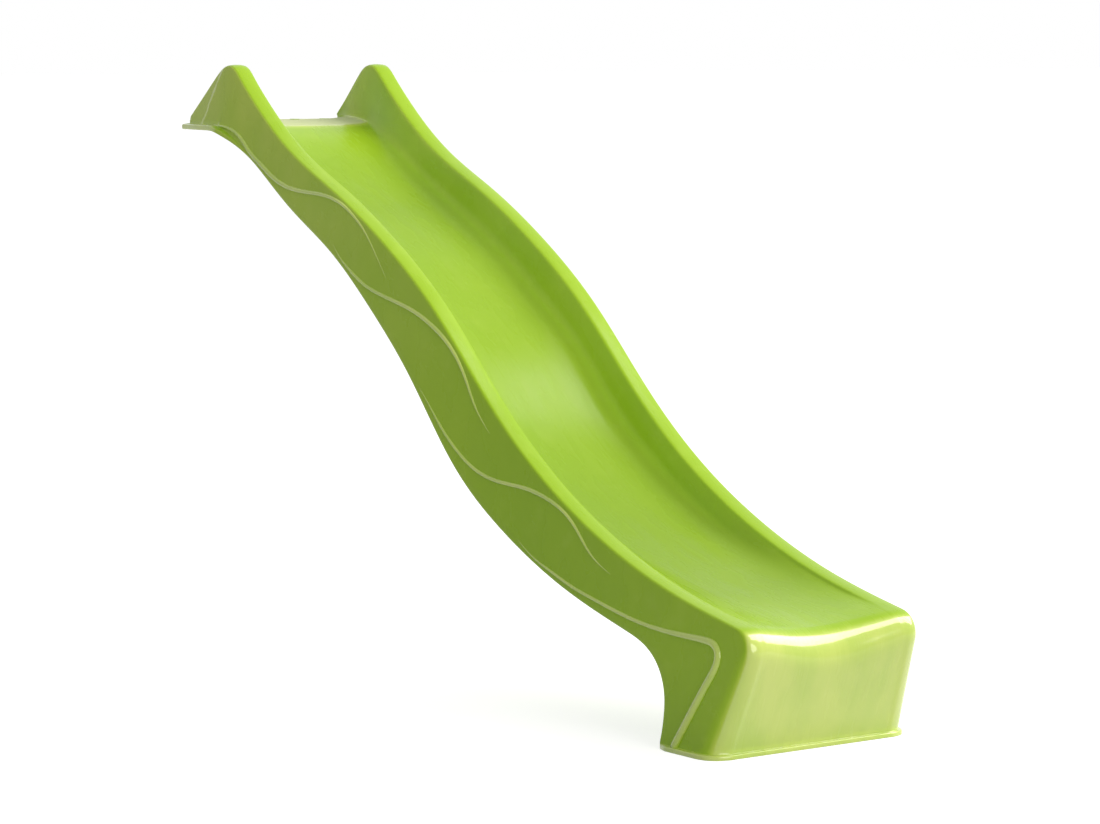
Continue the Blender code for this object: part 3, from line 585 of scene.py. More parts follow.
def edge_profile(style, reach, height):
    """How far out and how high each row of the wall's edge lies, for any style."""
    tall = PLAIN_EDGE
    plain = ((0.0, tall), (0.0, tall * 2 / 3), (0.0, tall / 3), (0.0, 0.0))
    under = (
        (0.0, EDGE_ROUNDING),
        (-EDGE_ROUNDING / 3, EDGE_ROUNDING / 4),
        (-EDGE_ROUNDING, 0.0),
        (-TURN_UNDER, 0.0),
    )
    other = flange_profile(reach, height) if style > 0 else under
    mix = abs(style)
    pairs = zip(plain, other)
    return [(a[0] * (1 - mix) + b[0] * mix, a[1] * (1 - mix) + b[1] * mix) for a, b in pairs]


def point3(xz, y):
    """A point of the model from its side-view point and Y."""
    return (float(xz[0]), float(y), float(xz[1]))


def rounding_at(k):
    """Radius of the outer edge of the rim, which grows down the foot's front corner."""
    share = min(max((k - FRONT_SECTION) / (len(RIMS) - 1 - FRONT_SECTION), 0.0), 1.0)
    return RIM_ROUNDING + share * (CORNER_ROUNDING - RIM_ROUNDING)


def front_share(k):
    """How far a section has turned into the foot's front, from 0 in the chute to 1."""
    if k >= FRONT_SECTION:
        return 1.0
    return smoothstep(*FRONT_BLEND, (FLOORS[k][0] - BACK) / SLIDE_LENGTH)


def section(k):
    """Half a section of the top skin, from the end of the side wall to the centre line."""
    rim = RIMS[k]
    floor = FLOORS[k]
    low = LOWERS[k]
    normal = NORMALS[k]
    radius = rounding_at(k)
    wall_end = low - DOWNS[k] * edge_profile(*STYLES[k])[0][1]
    side = rim - normal * radius
    outer = wall_y(*side)
    flat = max(RIM_WIDTH - radius - RIM_ROUNDING, FRONT_FLAT)
    inner = outer - radius - flat - RIM_ROUNDING
    depth = float(np.linalg.norm(floor - rim))
    front = front_share(k)
    inner_drop = RIM_ROUNDING * min(1.0, depth / (4 * RIM_ROUNDING)) * (1 - FRONT_EASE * front)
    mid = (side + wall_end) / 2
    points = [point3(wall_end, wall_y(*wall_end)), point3(mid, wall_y(*mid))]
    for turn in ROUNDING_TURNS:
        a = math.radians(turn)
        spot = rim - normal * radius * (1 - math.sin(a))
        points.append(point3(spot, outer - radius * (1 - math.cos(a))))
    middle = (outer - radius + inner + RIM_ROUNDING) / 2
    points.append(point3(rim + normal * RIM_CROWN, middle))
    for turn in INNER_TURNS:
        a = math.radians(turn)
        spot = rim - normal * inner_drop * (1 - math.sin(a))
        points.append(point3(spot, inner + RIM_ROUNDING * (1 - math.cos(a))))
    f = (floor[0] - BACK) / SLIDE_LENGTH
    lip = 1 - smoothstep(*LIP_BLEND, f)
    leave = smoothstep(*EXIT_BLEND, f)
    for share, at_lip, at_chute, at_exit, at_front in TROUGH_ROWS:
        spot = rim + share * (floor - rim)
        away = at_lip * lip + (1 - lip) * (at_chute * (1 - leave) + at_exit * leave)
        away = away * (1 - front) + at_front * front
        points.append(point3(spot, inner - away * RIM_SPREAD))
    points.append(point3(floor, 0.0))
    return points


def lofted(half_rows):
    """Points of mirrored half rows, faces between them that look up, and the length of a whole row."""
    vertices = []
    for row in half_rows:
        vertices.extend(row + [(x, -y, z) for x, y, z in reversed(row[:-1])])
    width = 2 * len(half_rows[0]) - 1
    faces = []
    for k in range(len(half_rows) - 1):
        for i in range(width - 1):
            a = k * width + i
            faces.append((a, a + 1, a + width + 1, a + width))
    return vertices, faces, width


def top_ring(width, deck_edge):
    """The sheet's boundary in order: each vertex with its down direction and its edge rows."""
    last = len(RIMS) - 1
    half = (width - 1) // 2
    down = np.array([0.0, -1.0])

    def side_entry(k, hand):
        index = k * width + (0 if hand > 0 else width - 1)
        back = [(0.0, 0.0)] * (EDGE_ROWS + 1)
        if k == 0:
            back = flange_profile(BACK_FLANGE, LIP_FLANGE_HEIGHT)
        rows = [(-b[0], hand * r[0], r[1]) for b, r in zip(back, edge_profile(*STYLES[k]))]
        return (index, DOWNS[k], rows)

    ring = [side_entry(k, 1.0) for k in range(last)]
    for i in range(width):
        hand = 1.0 if i <= half else -1.0
        span = (min(i, width - 1 - i) - SIDE_POINTS) / (len(ROUNDING_TURNS) - 1)
        turn = math.radians(ROUNDING_TURNS[-1] * min(max(span, 0.0), 1.0))
        profile = flange_profile(FOOT_FLANGE, FOOT_FLANGE_HEIGHT)
        rows = [(out * math.sin(turn), hand * out * math.cos(turn), up) for out, up in profile]
        ring.append((last * width + i, down, rows))
    ring.extend(side_entry(k, -1.0) for k in reversed(range(last)))
    back_rows = [(-out, 0.0, up) for out, up in flange_profile(BACK_FLANGE, DOUBLE_WALL)]
    for i in (width - 1 - deck_edge, half, deck_edge):
        ring.append((i, down, back_rows))
    return ring


def add_edge_strip(vertices, faces, ring):
    """Three more rows of faces all round the sheet: flange, plain end or turned-under edge."""
    previous = [index for index, _, _ in ring]
    starts = [np.array(vertices[index]) for index in previous]
    for row in range(1, EDGE_ROWS + 1):
        current = []
        for start, (_, down, rows) in zip(starts, ring):
            drop = rows[0][2] - rows[row][2]
            point = start + np.array([down[0] * drop, 0.0, down[1] * drop])
            point = point + np.array([rows[row][0], rows[row][1], 0.0])
            current.append(len(vertices))
            vertices.append(tuple(float(v) for v in point))
        for i, _ in enumerate(ring):
            j = (i + 1) % len(ring)
            faces.append((previous[i], previous[j], current[j], current[i]))
        previous = current


def under_edge_y(k):
    """Half width of the underside skin at a station, just inside the top skin's edge."""
    profile = edge_profile(*STYLES[k])
    wall_end = LOWERS[k] - DOWNS[k] * profile[0][1]
    out, up = np.subtract(profile[-1], profile[-2])
    inset = TOP_SKIN * abs(up) / math.hypot(out, up)
    twist = abs(STYLES[k + 1][0] - STYLES[max(k - 1, 0)][0])
    return wall_y(*wall_end) + profile[-1][0] - inset - SEAM - TWIST_PLAY * twist


def under_rows():
    """Half rows of the underside skin: rails, raised panel, foot back and foot base."""
    rows = []
    fade_start, fade_end = (along(f) for f in PANEL_FADE)
    floor_normals = path_normals(FLOORS)
    for k, low in enumerate(LOWERS[:-1]):
        edge = under_edge_y(k)
        panel = low
        if k < FOOT_CORNER:
            raised = FLOORS[k] - floor_normals[k] * DOUBLE_WALL
            keep = 1 - smoothstep(fade_start, fade_end, low[0])
            panel = low + keep * (raised - low)
        if low[0] < along(WING_LOWER[-1]):
            panel = low
        if k == 0:
            low = np.array([LOWERS[0][0] - BACK_FLANGE + TOP_SKIN + SEAM, PLATFORM_HEIGHT])
            panel = low
        if k == FOOT_CORNER:
            low = np.array([low[0], 0.0])
            panel = low
        rail = edge - RAIL_WIDTH
        slope_end = rail - PANEL_SLOPE_WIDTH
        ease = PANEL_EASE_RUN * PANEL_SLOPE_WIDTH
        lift = PANEL_EASE_RISE * (panel - low)
        row = [point3(low, edge), point3(low, rail), point3(low + lift, rail - ease)]
        row.append(point3(panel - lift, slope_end + ease))
        row.append(point3(panel, slope_end))
        row.append(point3(panel, 0.0))
        rows.append(row)
    rows.extend(under_front_rows())
    return rows


def under_front_rows():
    """Rows of the underside skin that follow the rounded front corners of the foot."""
    wall_x = RIMS[-1][0]
    flange_end = wall_y(*RIMS[-1])
    centre_x = wall_x - CORNER_ROUNDING
    centre_y = flange_end - CORNER_ROUNDING
    radius = CORNER_ROUNDING + FOOT_FLANGE - TOP_SKIN - SEAM
    rows = []
    for turn in ROUNDING_TURNS:
        a = math.radians(turn)
        x = centre_x + radius * math.sin(a)
        y = centre_y + radius * math.cos(a)
        rows.append([(x, y * share, 0.0) for share in FRONT_ROW_SHARES])
    return rows


def new_material(name):
    """A node material: its tree and its Principled shader."""
    material = bpy.data.materials.new(name)
    material.use_nodes = True
    return material, material.node_tree, material.node_tree.nodes["Principled BSDF"]


def add_node(tree, kind, values=None, **settings):
    """A shader node with its settings and unlinked input values."""
    node = tree.nodes.new("ShaderNode" + kind)
    for key, value in settings.items():
        setattr(node, key, value)
    for key, value in (values or {}).items():
        node.inputs[key].default_value = value
    return node


def noise(tree, scale, detail, stretch, offset, rough):
    """A noise pattern in metres of the object, stretched along each axis."""
    shift = tuple(offset * share for share in PATTERN_SHIFT)
    place = add_node(tree, "TexCoord")
    mapping = add_node(tree, "Mapping", {"Scale": stretch, "Location": shift})
    pattern = add_node(tree, "TexNoise", {"Scale": scale, "Detail": detail, "Roughness": rough})
    tree.links.new(place.outputs["Object"], mapping.inputs["Vector"])
    tree.links.new(mapping.outputs["Vector"], pattern.inputs["Vector"])
    return pattern.outputs["Fac"]


def remap(tree, source, low, high, to_low, to_high):
    """A value taken from one range to another, held inside it."""
    ends = {"From Min": low, "From Max": high, "To Min": to_low, "To Max": to_high}
    node = add_node(tree, "MapRange", ends)
    tree.links.new(source, node.inputs["Value"])
    return node.outputs["Result"]


def combined(tree, operation, first, second):
    """A sum, product or the like of two sockets, or of a socket and a number."""
    node = add_node(tree, "Math", operation=operation)
    tree.links.new(first, node.inputs[0])
    if isinstance(second, float):
        node.inputs[1].default_value = second
    else:
        tree.links.new(second, node.inputs[1])
    return node.outputs["Value"]


def mix_colour(tree, factor, first, second):
    """Two colours mixed by a factor; each colour is a socket or plain numbers."""
    node = add_node(tree, "Mix", data_type="RGBA")
    tree.links.new(factor, node.inputs["Factor"])
    for name, colour in (("A", first), ("B", second)):
        socket = [s for s in node.inputs if s.name == name and s.type == "RGBA"][0]
        if isinstance(colour, tuple):
            socket.default_value = (*colour, 1.0)
        else:
            tree.links.new(colour, socket)
    return [s for s in node.outputs if s.type == "RGBA"][0]


def add_bumps(tree, shader, layers):
    """Bumps laid one over another: each a height with its strength and depth."""
    below = None
    for height, (strength, depth) in layers:
        bump = add_node(tree, "Bump", {"Strength": strength, "Distance": depth})
        tree.links.new(height, bump.inputs["Height"])
        if below is not None:
            tree.links.new(below, bump.inputs["Normal"])
        below = bump.outputs["Normal"]
    tree.links.new(below, shader.inputs["Normal"])


def moulded_plastic(name, colour, pale, gloss):
    """Moulded polyethylene: cloudy colour, orange peel, fine scuffs, painted shade, painted sheen and
    wear, the deck's painted glare and coated places.
    """
    material, tree, shader = new_material(name)
    streaks = noise(tree, *STREAKS)
    scuffs = noise(tree, *SCUFFS)
    tone = add_node(tree, "Attribute", attribute_name="tone").outputs["Fac"]

    base = mix_colour(tree, remap(tree, noise(tree, *CLOUDS), *CLOUDS_DEEPEN), colour, SHELL_DEEP)
    base = mix_colour(tree, remap(tree, streaks, *STREAKS_PALE), base, pale)
    base = mix_colour(tree, remap(tree, noise(tree, *MOTTLE), *MOTTLE_PALE), base, pale)
    # Painted shade: tones below one half darken the colour
    base = mix_colour(tree, remap(tree, tone, *PAINTED_SHADE_TONES, 1.0, 0.0), base, SHELL_PAINTED_SHADE)
    # Painted sheen and highlight, partly wear: high tones turn pale in soft patches
    patches = remap(tree, noise(tree, *PATCHES), *PATCHES_SHEEN_AND_WEAR)
    sheen_and_wear = combined(tree, "MULTIPLY", remap(tree, tone, *SHEEN_AND_WEAR_TONES, 0.0, 1.0), patches)
    base = mix_colour(tree, sheen_and_wear, base, SHELL_SHEEN_AND_WEAR)
    # Painted glare on the deck
    base = mix_colour(tree, remap(tree, tone, *DECK_GLARE_TONES, 0.0, 1.0), base, DECK_GLARE)
    tree.links.new(base, shader.inputs["Base Color"])

    low, high, smoother, rougher = STREAKS_GLOSS
    rough = remap(tree, streaks, low, high, gloss + smoother, gloss + rougher)
    rough = combined(tree, "ADD", rough, remap(tree, scuffs, *SCUFFS_DULL))
    rough = combined(tree, "ADD", rough, remap(tree, tone, *DECK_GLARE_TONES, 0.0, DECK_DULL))
    tree.links.new(rough, shader.inputs["Roughness"])
    coat = remap(tree, tone, *COAT_TONES, 0.0, 1.0)
    coat = combined(tree, "MULTIPLY", coat, remap(tree, tone, *DECK_GLARE_TONES, 1.0, 0.0))
    tree.links.new(coat, shader.inputs["Coat Weight"])
    shader.inputs["Coat Roughness"].default_value = COAT_GLOSS
    shader.inputs["Coat IOR"].default_value = COAT_IOR
    shader.inputs["IOR"].default_value = BASE_IOR
    shader.inputs["Specular IOR Level"].default_value = BASE_SPECULAR

    peel = noise(tree, *PEEL)
    grain = noise(tree, *GRAIN)
    add_bumps(tree, shader, ((peel, PEEL_BUMP), (grain, GRAIN_BUMP), (scuffs, SCUFFS_BUMP)))
    return material


def brushed_steel(name):
    """Plain stainless steel with turning marks and a dull film."""
    material, tree, shader = new_material(name)
    marks = noise(tree, *MARKS)
    film = remap(tree, noise(tree, *FILM), *FILM_DULL)
    dull = tuple(channel * STEEL_DULL for channel in STEEL_COLOUR)
    tree.links.new(mix_colour(tree, film, STEEL_COLOUR, dull), shader.inputs["Base Color"])
    tree.links.new(remap(tree, marks, *MARKS_GLOSS), shader.inputs["Roughness"])
    shader.inputs["Metallic"].default_value = 1.0
    add_bumps(tree, shader, ((marks, MARKS_BUMP),))
    return material


def placed(name, data):
    """An object of the scene with its mesh, lamp or camera."""
    thing = bpy.data.objects.new(name, data)
    bpy.context.scene.collection.objects.link(thing)
    return thing


def new_object(name, mesh, material):
    """An object of its own, with its material."""
    mesh.materials.append(material)
    return placed(name, mesh)


def mesh_of(work, name):
    """The mesh of a shape that is now complete."""
    mesh = bpy.data.meshes.new(name)
    work.to_mesh(mesh)
    work.free()
    return mesh


def add_rings(work, rings):
    """Faces from each ring of points to the next, and across the first ring."""
    for a, b in zip(rings, rings[1:]):
        for i, _ in enumerate(a):
            j = (i + 1) % len(a)
            work.faces.new((a[i], a[j], b[j], b[i]))
    work.faces.new(rings[0])


def closed_mesh(work, name):
    """The smooth mesh of a complete closed shape, with its faces looking outward."""
    bmesh.ops.recalc_face_normals(work, faces=work.faces[:])
    for face in work.faces:
        face.smooth = True
    return mesh_of(work, name)


def baked(thing):
    """The object with its modifiers applied, shaded smooth."""
    graph = bpy.context.evaluated_depsgraph_get()
    mesh = bpy.data.meshes.new_from_object(thing.evaluated_get(graph))
    thing.modifiers.clear()
    thing.data = mesh
    for face in mesh.polygons:
        face.use_smooth = True
    return thing


def sheet_mesh(name, vertices, faces, creases):
    """A mesh from corners and faces wound to look outward, with creased edges."""
    work = bmesh.new()
    made = [work.verts.new(v) for v in vertices]
    for face in faces:
        work.faces.new([made[i] for i in face]).smooth = True
    work.edges.ensure_lookup_table()
    layer = work.edges.layers.float.new("crease_edge")
    for a, b, crease in creases:
        edge = work.edges.get((made[a], made[b]))
        if edge is not None:
            edge[layer] = crease
    return mesh_of(work, name)


def fine_skin(name, mesh, thickness, material):
    """A sheet given its thickness and then smoothed into a fine closed skin."""
    skin = new_object(name, mesh, material)
    solid = skin.modifiers.new("Thickness", "SOLIDIFY")
    solid.thickness = thickness
    solid.offset = -1.0
    solid.use_even_offset = True
    solid.use_quality_normals = True
    solid.edge_crease_rim = RIM_END_CREASE
    smooth = skin.modifiers.new("Smooth", "SUBSURF")
    smooth.levels = SKIN_LEVELS
    smooth.render_levels = SKIN_LEVELS
    return baked(skin)


def top_skin():
    """The top skin: trough, rims, side walls, wings, lip, foot front and flanges."""
    vertices, faces, width = lofted([section(k) for k in range(len(RIMS))])
    deck_edge = width // 2 - 1
    tail = range(deck_edge + 1)
    faces.append(tuple(reversed(tail)))
    faces.append(tuple(width - 1 - i for i in tail))
    ring = top_ring(width, deck_edge)
    first = len(vertices)
    add_edge_strip(vertices, faces, ring)
    count = len(ring)
    starts = [index for index, _, _ in ring]
    creases = []
    for i in range(count):
        j = (i + 1) % count
        creases.append((starts[i], starts[j], FLANGE_CREASE))
        for row in range(EDGE_ROWS):
            strip = first + row * count
            creases.append((strip + i, strip + j, FLANGE_CREASE / 2))
    for i in (starts.index(0), starts.index(width - 1)):
        creases.append((starts[i], first + i, CORNER_CREASE))
        for row in range(EDGE_ROWS - 1):
            strip = first + row * count
            creases.append((strip + i, strip + count + i, CORNER_CREASE))
    wing = CREASE_STATION * width
    for i in range(deck_edge):
        creases.append((i, i + 1, TAIL_CREASE))
        creases.append((width - 1 - i, width - 2 - i, TAIL_CREASE))
    for i in range(SIDE_POINTS):
        creases.append((wing + i, wing + i + 1, WING_CREASE))
        creases.append((wing + width - 1 - i, wing + width - 2 - i, WING_CREASE))
    return sheet_mesh("slide_shell", vertices, faces, creases)


def painted_light_at(place, normal):
    """Painted light and shade at a point, from its place and the way that it faces: 0 for painted
    shade, 1 for painted sheen.
    """
    share = (place.x - BACK) / SLIDE_LENGTH
    inner = HALF_RIM - RIM_WIDTH
    # How far the surface faces sideways, which picks the painted shade of the walls over that of the
    # trough
    steep = smoothstep(*STEEP_TURN, abs(normal.y))
    outward = normal.y * place.y > 0
    inside = 1 - smoothstep(inner, inner + RIM_ROUNDING, abs(place.y))
    if not outward:
        inside = max(inside, steep)
    # Painted shade in the trough and on the walls, and painted light on the sides and rims, by region
    within = read(TROUGH_PAINTED_LIGHT, share) * (1 - steep) + read(WALL_PAINTED_LIGHT, share) * steep
    outside = RIM_TONE * (1 - steep) + read(SIDE_PAINTED_LIGHT, share) * steep
    if share > CHUTE_START:
        below = smoothstep(0.0, 2 * RIM_ROUNDING, rim_z(place.x) - place.z)
    else:
        below = inside
        # Painted glare over the deck
        deck_glare = (1 - smoothstep(*DECK_END, place.x)) * (1 - steep) * (place.z < DECK + RIM_ROUNDING)
        within = within * (1 - deck_glare) + DECK_GLARE_TONE * deck_glare
    tone = outside + (within - outside) * inside * below
    # Painted sheen: where the foot's front faces forward it turns pale
    if place.x > along(EXIT_BLEND[1]) - RIM_WIDTH:
        tone += (read(FRONT_SHEEN_TONES, place.z) - tone) * smoothstep(*FRONT_TURN, normal.x)
    # Painted highlight: a pale line along the wing's crease
    if outward and steep > 0 and abs(tail_tuck_behind(place.x, place.z)) < CREASE_REACH:
        tone = CREASE_HIGHLIGHT_TONE
    # Painted highlight on the flanges round the foot and the lip
    low_flange = place.z < FOOT_FLANGE_HEIGHT + BREAK and share > FOOT_BACK[0][0]
    lip_flange = place.z < PLATFORM_HEIGHT + LIP_FLANGE_HEIGHT and share < LIP_FLANGE_FADE[0]
    if low_flange or (lip_flange and abs(place.y) > inner):
        tone = FLANGE_HIGHLIGHT_TONE
    return tone


def by_screw_hole(place):
    """Whether a point lies on the edge or the side of a hole in the lip."""
    reach = BUSH_RADIUS + 2 * HOLE_PLAY
    return any(math.hypot(place.x - x, place.y - y) < reach for x, y in screw_places())


def crisp_holes(thing):
    """Keeps the edges of an object's screw holes sharp."""
    points = thing.data.vertices
    for edge in thing.data.edges:
        if all(by_screw_hole(points[index].co) for index in edge.vertices):
            edge.use_edge_sharp = True


def shell_painted_light(mesh):
    """The tone of painted light and shade at each point of the shell, with the deck's painted glare
    round the screw holes.
    """
    return [DECK_GLARE_TONE if by_screw_hole(p.co) else painted_light_at(p.co, p.normal) for p in mesh.vertices]


def toned(mesh, tones):
    """The mesh with the tone of each point, its painted light, shade and wear, stored for its material
    to read.
    """
    mesh.attributes.new("tone", "FLOAT", "POINT").data.foreach_set("value", tones)
    return mesh


def evenly_toned(mesh, tone):
    """The mesh with one tone all over."""
    return toned(mesh, [tone] * len(mesh.vertices))


def under_skin():
    """The underside skin: rails, raised panel, foot back and foot base."""
    vertices, faces, _ = lofted(under_rows())
    outward = [tuple(reversed(face)) for face in faces]
    return sheet_mesh("slide_underside", vertices, outward, [])


def rib_mesh(name, points, widths, hand, wall):
    """One raised rib: a closed ribbon that follows the outside of the wall."""
    flat = np.array([(along(f), level(w)) for f, w in points])
    run = np.concatenate([[0.0], np.cumsum(np.linalg.norm(np.diff(flat, axis=0), axis=1))])
    wanted = np.linspace(0.0, run[-1], int(run[-1] / RIB_STEP) + 1)
    xs = natural_spline(run, flat[:, 0], wanted)
    zs = natural_spline(run, flat[:, 1], wanted)
    heading = np.gradient(np.column_stack([xs, zs]), axis=0)
    heading /= np.linalg.norm(heading, axis=1)[:, None]
    shares, sizes = zip(*widths)
    half = np.interp(wanted / run[-1], shares, sizes) / 2
    out = Vector((0.0, hand, 0.0))
    turns = np.linspace(-1.0, 1.0, RIB_ROWS)
    places_x = xs[:, None] - heading[:, 1:] * half[:, None] * turns
    places_z = zs[:, None] + heading[:, :1] * half[:, None] * turns
    seats = np.empty_like(places_x)
    for index, px in np.ndenumerate(places_x):
        hit = wall.ray_cast(Vector((px, hand, places_z[index])), -out)[0]
        bare = wall_y(px, places_z[index]) + BREAK
        seats[index] = bare if hit is None else min(abs(hit.y), bare)
    reach = RIB_EASE // 2
    padded = np.pad(seats, ((reach, reach), (0, 0)), mode="edge")
    seats = sum(padded[i : i + len(seats)] for i in range(RIB_EASE)) / RIB_EASE
    work = bmesh.new()
    rows = []
    for row_x, row_z, row_y, h in zip(places_x, places_z, seats, half):
        crown = RIB_SLOPE * h * (1 - turns**2) ** RIB_SHOULDER - RIB_SINK
        ring = [(px, hand * py, pz) for px, py, pz in zip(row_x, row_y + crown, row_z)]
        for end in (-1, 0):
            ring.append((row_x[end], hand * (row_y[end] - RIB_ROOT), row_z[end]))
        rows.append([work.verts.new(spot) for spot in ring])
    add_rings(work, rows)
    work.faces.new(rows[-1])
    # Painted highlight, partly wear: each rib is toned pale all over
    return evenly_toned(closed_mesh(work, name), RIB_HIGHLIGHT_AND_WEAR_TONE)


def joined(thing, meshes):
    """The object with closed pieces that are moulded into it added to its mesh."""
    work = bmesh.new()
    work.from_mesh(thing.data)
    for mesh in meshes:
        work.from_mesh(mesh)
    work.to_mesh(thing.data)
    work.free()
    return thing


def cut(thing, cutters):
    """The object with other objects cut away from it."""
    for cutter in cutters:
        modifier = thing.modifiers.new("Cut", "BOOLEAN")
        modifier.operation = "DIFFERENCE"
        modifier.object = cutter
        modifier.solver = "EXACT"
    baked(thing)
    for cutter in cutters:
        bpy.data.objects.remove(cutter)
    return thing


def turned(name, profile, x, y, material):
    """A turned ring: its closed half profile swept once round an upright axis."""
    mesh = bpy.data.meshes.new(name)
    edges = [(i, (i + 1) % len(profile)) for i in range(len(profile))]
    mesh.from_pydata([(r, 0.0, z) for r, z in profile], edges, [])
    thing = new_object(name, mesh, material)
    sweep = thing.modifiers.new("Sweep", "SCREW")
    sweep.axis = "Z"
    sweep.steps = HOLE_SIDES
    sweep.render_steps = HOLE_SIDES
    sweep.use_merge_vertices = True
    sweep.merge_threshold = WELD
    sweep.use_normal_calculate = True
    thing.location = (x, y, 0.0)
    baked(thing)
    thing.data.set_sharp_from_angle(angle=SHARP)
    return thing


def thread_radius(turn, drop):
    """Radius of a threaded shank at an angle, in turns, and a depth below its plain neck."""
    if drop < 0.0:
        return SCREW_RADIUS - THREAD_DEPTH / 2
    phase = (drop / THREAD_PITCH - turn) % 1.0
    ridge = max(0.0, 1.0 - abs(phase - 0.5) / THREAD_RIDGE)
    fade = min(1.0, drop / THREAD_PITCH)
    return SCREW_RADIUS - THREAD_DEPTH * (1.0 - ridge * fade)


def screw_mesh(name, top):
    """A countersunk wood screw: head, plain neck, thread and point, as rings round its axis."""
    tip = PLATFORM_HEIGHT - SCREW_BITE
    head = [(SCREW_HEAD_RADIUS - BREAK, top), (SCREW_HEAD_RADIUS, top - BREAK)]
    head.append((SCREW_RADIUS, top - SCREW_HEAD_HEIGHT))
    rings = [[(r, z)] * THREAD_SIDES for r, z in head]
    shank = top - SCREW_HEAD_HEIGHT - BREAK
    rows = int((shank - tip) / THREAD_ROW)
    for row in range(rows):
        z = shank - (shank - tip) * row / rows
        slim = min(1.0, (z - tip) / SCREW_POINT)
        drop = shank - SCREW_NECK - z
        radii = [slim * thread_radius(s / THREAD_SIDES, drop) for s in range(THREAD_SIDES)]
        rings.append([(r, z) for r in radii])
    turns = [2 * math.pi * s / THREAD_SIDES for s in range(THREAD_SIDES)]
    work = bmesh.new()
    made = []
    for ring in rings:
        spots = [(r * math.cos(a), r * math.sin(a), z) for (r, z), a in zip(ring, turns)]
        made.append([work.verts.new(spot) for spot in spots])
    add_rings(work, made)
    point = work.verts.new((0.0, 0.0, tip))
    for s in range(THREAD_SIDES):
        work.faces.new((made[-1][s], point, made[-1][(s + 1) % THREAD_SIDES]))
    return closed_mesh(work, name)


def drive_cutter(top, x, y):
    """The cross recess of a screw head, narrower towards its bottom."""
    half = DRIVE_LENGTH / 2
    thin = DRIVE_WIDTH / 2
    cross = []
    for quarter in range(4):
        turn = Matrix.Rotation(quarter * math.pi / 2, 2)
        cross.extend(turn @ Vector(corner) for corner in ((half, thin), (thin, thin), (thin, half)))
    work = bmesh.new()
    rings = []
    for taper, z in ((DRIVE_TAPER, top - DRIVE_DEPTH), (1.0, top + DRIVE_DEPTH / 4)):
        rings.append([work.verts.new((x + p.x * taper, y + p.y * taper, z)) for p in cross])
    add_rings(work, rings)
    work.faces.new(rings[-1])
    return placed("drive", closed_mesh(work, "drive"))


def round_cutter(radius, z, x, y):
    """An upright cylinder that cuts a round hole through a skin."""
    place = (x, y, z)
    sides = HOLE_SIDES
    bpy.ops.mesh.primitive_cylinder_add(vertices=sides, radius=radius, depth=HOLE_DEPTH, location=place)
    return bpy.context.object


def screw_places():
    """X and Y of each fixing, in one row across the lip."""
    x = BACK + SCREW_ROW_SETBACK
    first = -SCREW_SPACING * (SCREW_COUNT - 1) / 2
    return [(x, first + i * SCREW_SPACING) for i in range(SCREW_COUNT)]


def show(thing, node):
    """A piece stands for its CAD node, which it hides, and rides with the slide."""
    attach(thing, "root")
    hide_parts(node)


def add_shell(plastic):
    """The top skin with its screw holes, painted light and shade, and ribs."""
    shell = fine_skin("slide_shell", top_skin(), TOP_SKIN, plastic)
    cut(shell, [round_cutter(BUSH_RADIUS + HOLE_PLAY, DECK, x, y) for x, y in screw_places()])
    crisp_holes(shell)
    toned(shell.data, shell_painted_light(shell.data))
    wall = BVHTree.FromObject(shell, bpy.context.evaluated_depsgraph_get())
    ribs = []
    for number, (points, widths) in enumerate(zip(RIBS, RIB_WIDTHS), start=1):
        for hand in (1.0, -1.0):
            ribs.append(rib_mesh(f"rib_{number}", points, widths, hand, wall))
    joined(shell, ribs)
    show(shell, "chute_shell")


def add_underside(plastic):
    """The underside skin with its screw holes and drains."""
    under = fine_skin("slide_underside", under_skin(), UNDER_SKIN, plastic)
    bore = SCREW_RADIUS + HOLE_PLAY
    holes = [round_cutter(bore, PLATFORM_HEIGHT, x, y) for x, y in screw_places()]
    drain_x = along((FOOT_BACK[-1][0] + FOOT_BASE[-1]) / 2)
    for hand in (1.0, -1.0):
        holes.append(round_cutter(DRAIN_RADIUS, 0.0, drain_x, hand * DRAIN_SPACING / 2))
    cut(under, holes)
    crisp_holes(under)
    evenly_toned(under.data, UNDER_TONE)
    show(under, "underside_skin")


def add_fixings(plastic, steel):
    """A bush and a countersunk screw at each place of the lip."""
    flange_bottom = DECK + SEAM
    flange_top = flange_bottom + BUSH_FLANGE
    bush_bottom = PLATFORM_HEIGHT + UNDER_SKIN + SEAM
    bore = SCREW_RADIUS + HOLE_PLAY
    profile = (
        (bore, flange_top - SCREW_HEAD_HEIGHT),
        (SCREW_HEAD_RADIUS + HOLE_PLAY, flange_top),
        (BUSH_FLANGE_RADIUS - BUSH_FLANGE / 2, flange_top),
        (BUSH_FLANGE_RADIUS - BUSH_FLANGE / 6, flange_top - BUSH_FLANGE / 6),
        (BUSH_FLANGE_RADIUS, flange_top - BUSH_FLANGE / 2),
        (BUSH_FLANGE_RADIUS, flange_bottom),
        (BUSH_RADIUS, flange_bottom),
        (BUSH_RADIUS, bush_bottom),
        (bore, bush_bottom),
    )
    for number, (x, y) in enumerate(screw_places(), start=1):
        bush = turned(f"bush_{number}", profile, x, y, plastic)
        evenly_toned(bush.data, BUSH_TONE)
        show(bush, f"lip_bush_{number}")
        screw = new_object(f"screw_{number}", screw_mesh(f"screw_{number}", flange_top), steel)
        screw.location = (x, y, 0.0)
        cut(screw, [drive_cutter(flange_top, x, y)])
        screw.data.set_sharp_from_angle(angle=SHARP)
        show(screw, f"lip_screw_{number}")


